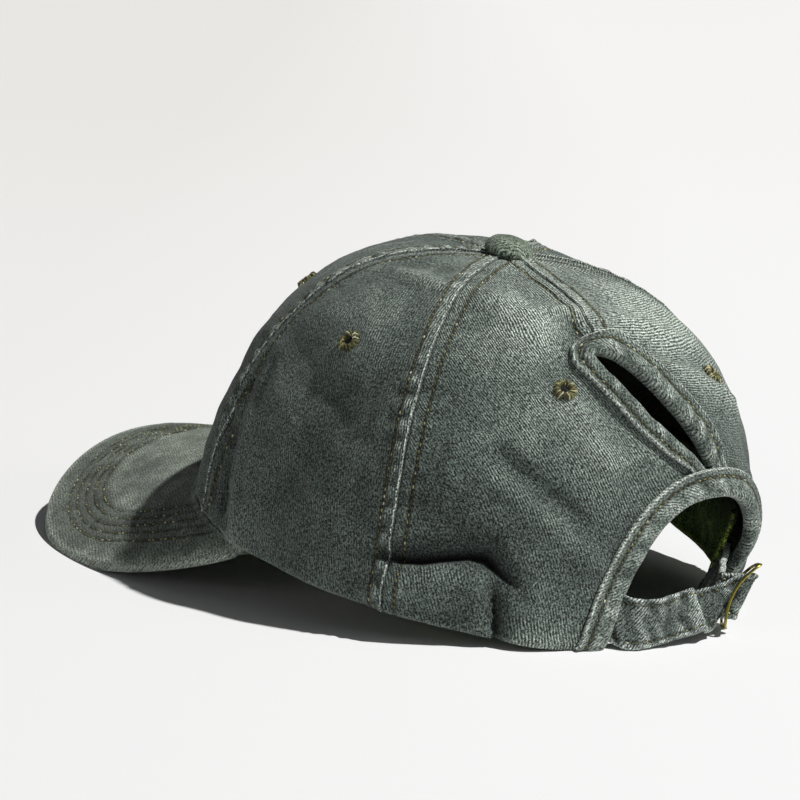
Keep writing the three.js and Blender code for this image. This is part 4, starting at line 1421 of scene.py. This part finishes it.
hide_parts("buckle")
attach(slide_piece, "root")

# Button: a metal dome under a disc of the crown's twill, which is gathered beneath it. Its shank
# is pressed through the top of the crown, where the six panels meet.
button_radius = 7.6
button_height = 6.0
button_lean = 0.13
button_profile = table("reach height", [
    (0.0, 1.0),
    (0.25, 0.985),
    (0.48, 0.93),
    (0.7, 0.81),
    (0.87, 0.62),
    (0.97, 0.42),
    (1.0, 0.26),
    (0.97, 0.12),
    (0.88, 0.03),
    (0.7, 0.0),
    (0.35, -0.02),
    (0.0, -0.02),
])
button_run = smooth_run([(row["reach"], row["height"]) for row in button_profile], 78)
button_turn = np.linspace(0, 2 * math.pi, 121)
top_point = bare_crown(np.float64(0), np.float64(1))
top_around, _, top_out = crown_frame(np.float64(0), np.float64(1))
top_out = unit(top_out + button_lean * np.array(level_right))
top_side = unit(top_around - top_out * (top_around @ top_out))
top_front = np.cross(top_out, top_side)
gather = ripple(button_turn * button_radius, 0 * button_turn, 5, 2.4, 5, 0)
gather = gather * smoothstep(button_run[:, 1:], -0.1, 0.1) * smoothstep(-button_run[:, 1:], -0.7, -0.25)
gather = gather * np.sin(button_turn / 2) ** 0.5
button_reach = button_radius * button_run[:, :1] + 0.14 * gather
button_rise = button_height * button_run[:, 1:] + 0 * button_turn
button_points = (
    top_point
    + top_side * (button_reach * np.cos(button_turn))[..., None]
    + top_front * (button_reach * np.sin(button_turn))[..., None]
    + top_out * button_rise[..., None]
)
button_points += top_out * (0.12 * crumple(button_points, 7, 4, 9))[..., None]
button_piece = lay_grid("button_cloth", button_points)
flat_button = [button_reach * np.cos(button_turn), button_reach * np.sin(button_turn) * 1.1, 0 * button_reach]
note(button_piece, "cloth", np.stack(np.broadcast_arrays(*flat_button), axis=-1))
button_wear = 0.3 * gather + 0.35 * (button_run[:, :1] > 0.5) - 0.9 * (button_run[:, 1:] < 0.2)
note(button_piece, "wear", np.broadcast_to(button_wear, button_rise.shape))
finish_closed(button_piece)
button_colours = [(50, 60, 52), (102, 114, 100), (146, 158, 143)]
button_twill = twill("button_twill", button_colours, wale_angle=60, crisp=0.6)
button_piece.data.materials.append(button_twill)
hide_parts("top_button")
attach(button_piece, "root")

# Floor and light: a seamless pale floor, a strong key from the upper right and a little behind
# the cap, and a weak pale surround. The floor's colour is painted darker far off and toward the left, as
# painted falloff of the light. None of it belongs to the cap.
bpy.ops.object.select_all(action="DESELECT")
bpy.ops.mesh.primitive_plane_add(size=14, location=(0, 0, 0))
floor = bpy.context.object
floor.name = "floor"
floor_paint = Finish("floor_paint", roughness=0.9)
floor_x, floor_y = floor_paint.x_and_y(floor_paint.place())
level_away = Vector((-math.sin(camera_azimuth), math.cos(camera_azimuth), 0))
# Painted light on the floor: darker far from the camera and toward the left, lighter near it and toward the
# right
floor_wide, floor_deep = 360, 1500
floor_side = ((floor_x * level_right.x + floor_y * level_right.y) / floor_wide + 0.5).clamped(0, 1)
floor_far = ((floor_x * level_away.x + floor_y * level_away.y) / floor_deep).clamped(0, 1)
near_floor_painted_falloff = floor_paint.mix(floor_side, (0.8, 0.802, 0.813, 1), (0.88, 0.883, 0.9, 1))
far_floor_painted_falloff = floor_paint.mix(floor_side, (0.765, 0.76, 0.745, 1), (0.86, 0.86, 0.866, 1))
floor_paint.feed("Base Color", floor_paint.mix(floor_far, near_floor_painted_falloff, far_floor_painted_falloff))
floor.data.materials.append(floor_paint.material)

lamps = table("name right away up energy angle", [
    ("key", 0.64, -0.08, 1.0, 3.75, 2),
    ("left_fill", -0.8, -0.6, 0.2, 0.26, 40),
    ("right_fill", 1.0, -0.4, 0.25, 0.35, 40),
])
for lamp in lamps:
    lamp_data = bpy.data.lights.new(lamp["name"], "SUN")
    lamp_data.energy = lamp["energy"]
    lamp_data.angle = math.radians(lamp["angle"])
    lamp_data.color = (1, 0.99, 0.97)
    source = bpy.data.objects.new(lamp["name"], lamp_data)
    bpy.context.scene.collection.objects.link(source)
    lamp_way = level_right * lamp["right"] + level_away * lamp["away"] + Vector((0, 0, lamp["up"]))
    source.rotation_euler = lamp_way.to_track_quat("Z", "Y").to_euler()

surround = bpy.data.worlds.new("surround")
surround.use_nodes = True
surround.node_tree.nodes["Background"].inputs["Color"].default_value = (0.94, 0.97, 1, 1)
surround.node_tree.nodes["Background"].inputs["Strength"].default_value = 0.06
bpy.context.scene.world = surround
bpy.context.scene.view_settings.view_transform = "Standard"
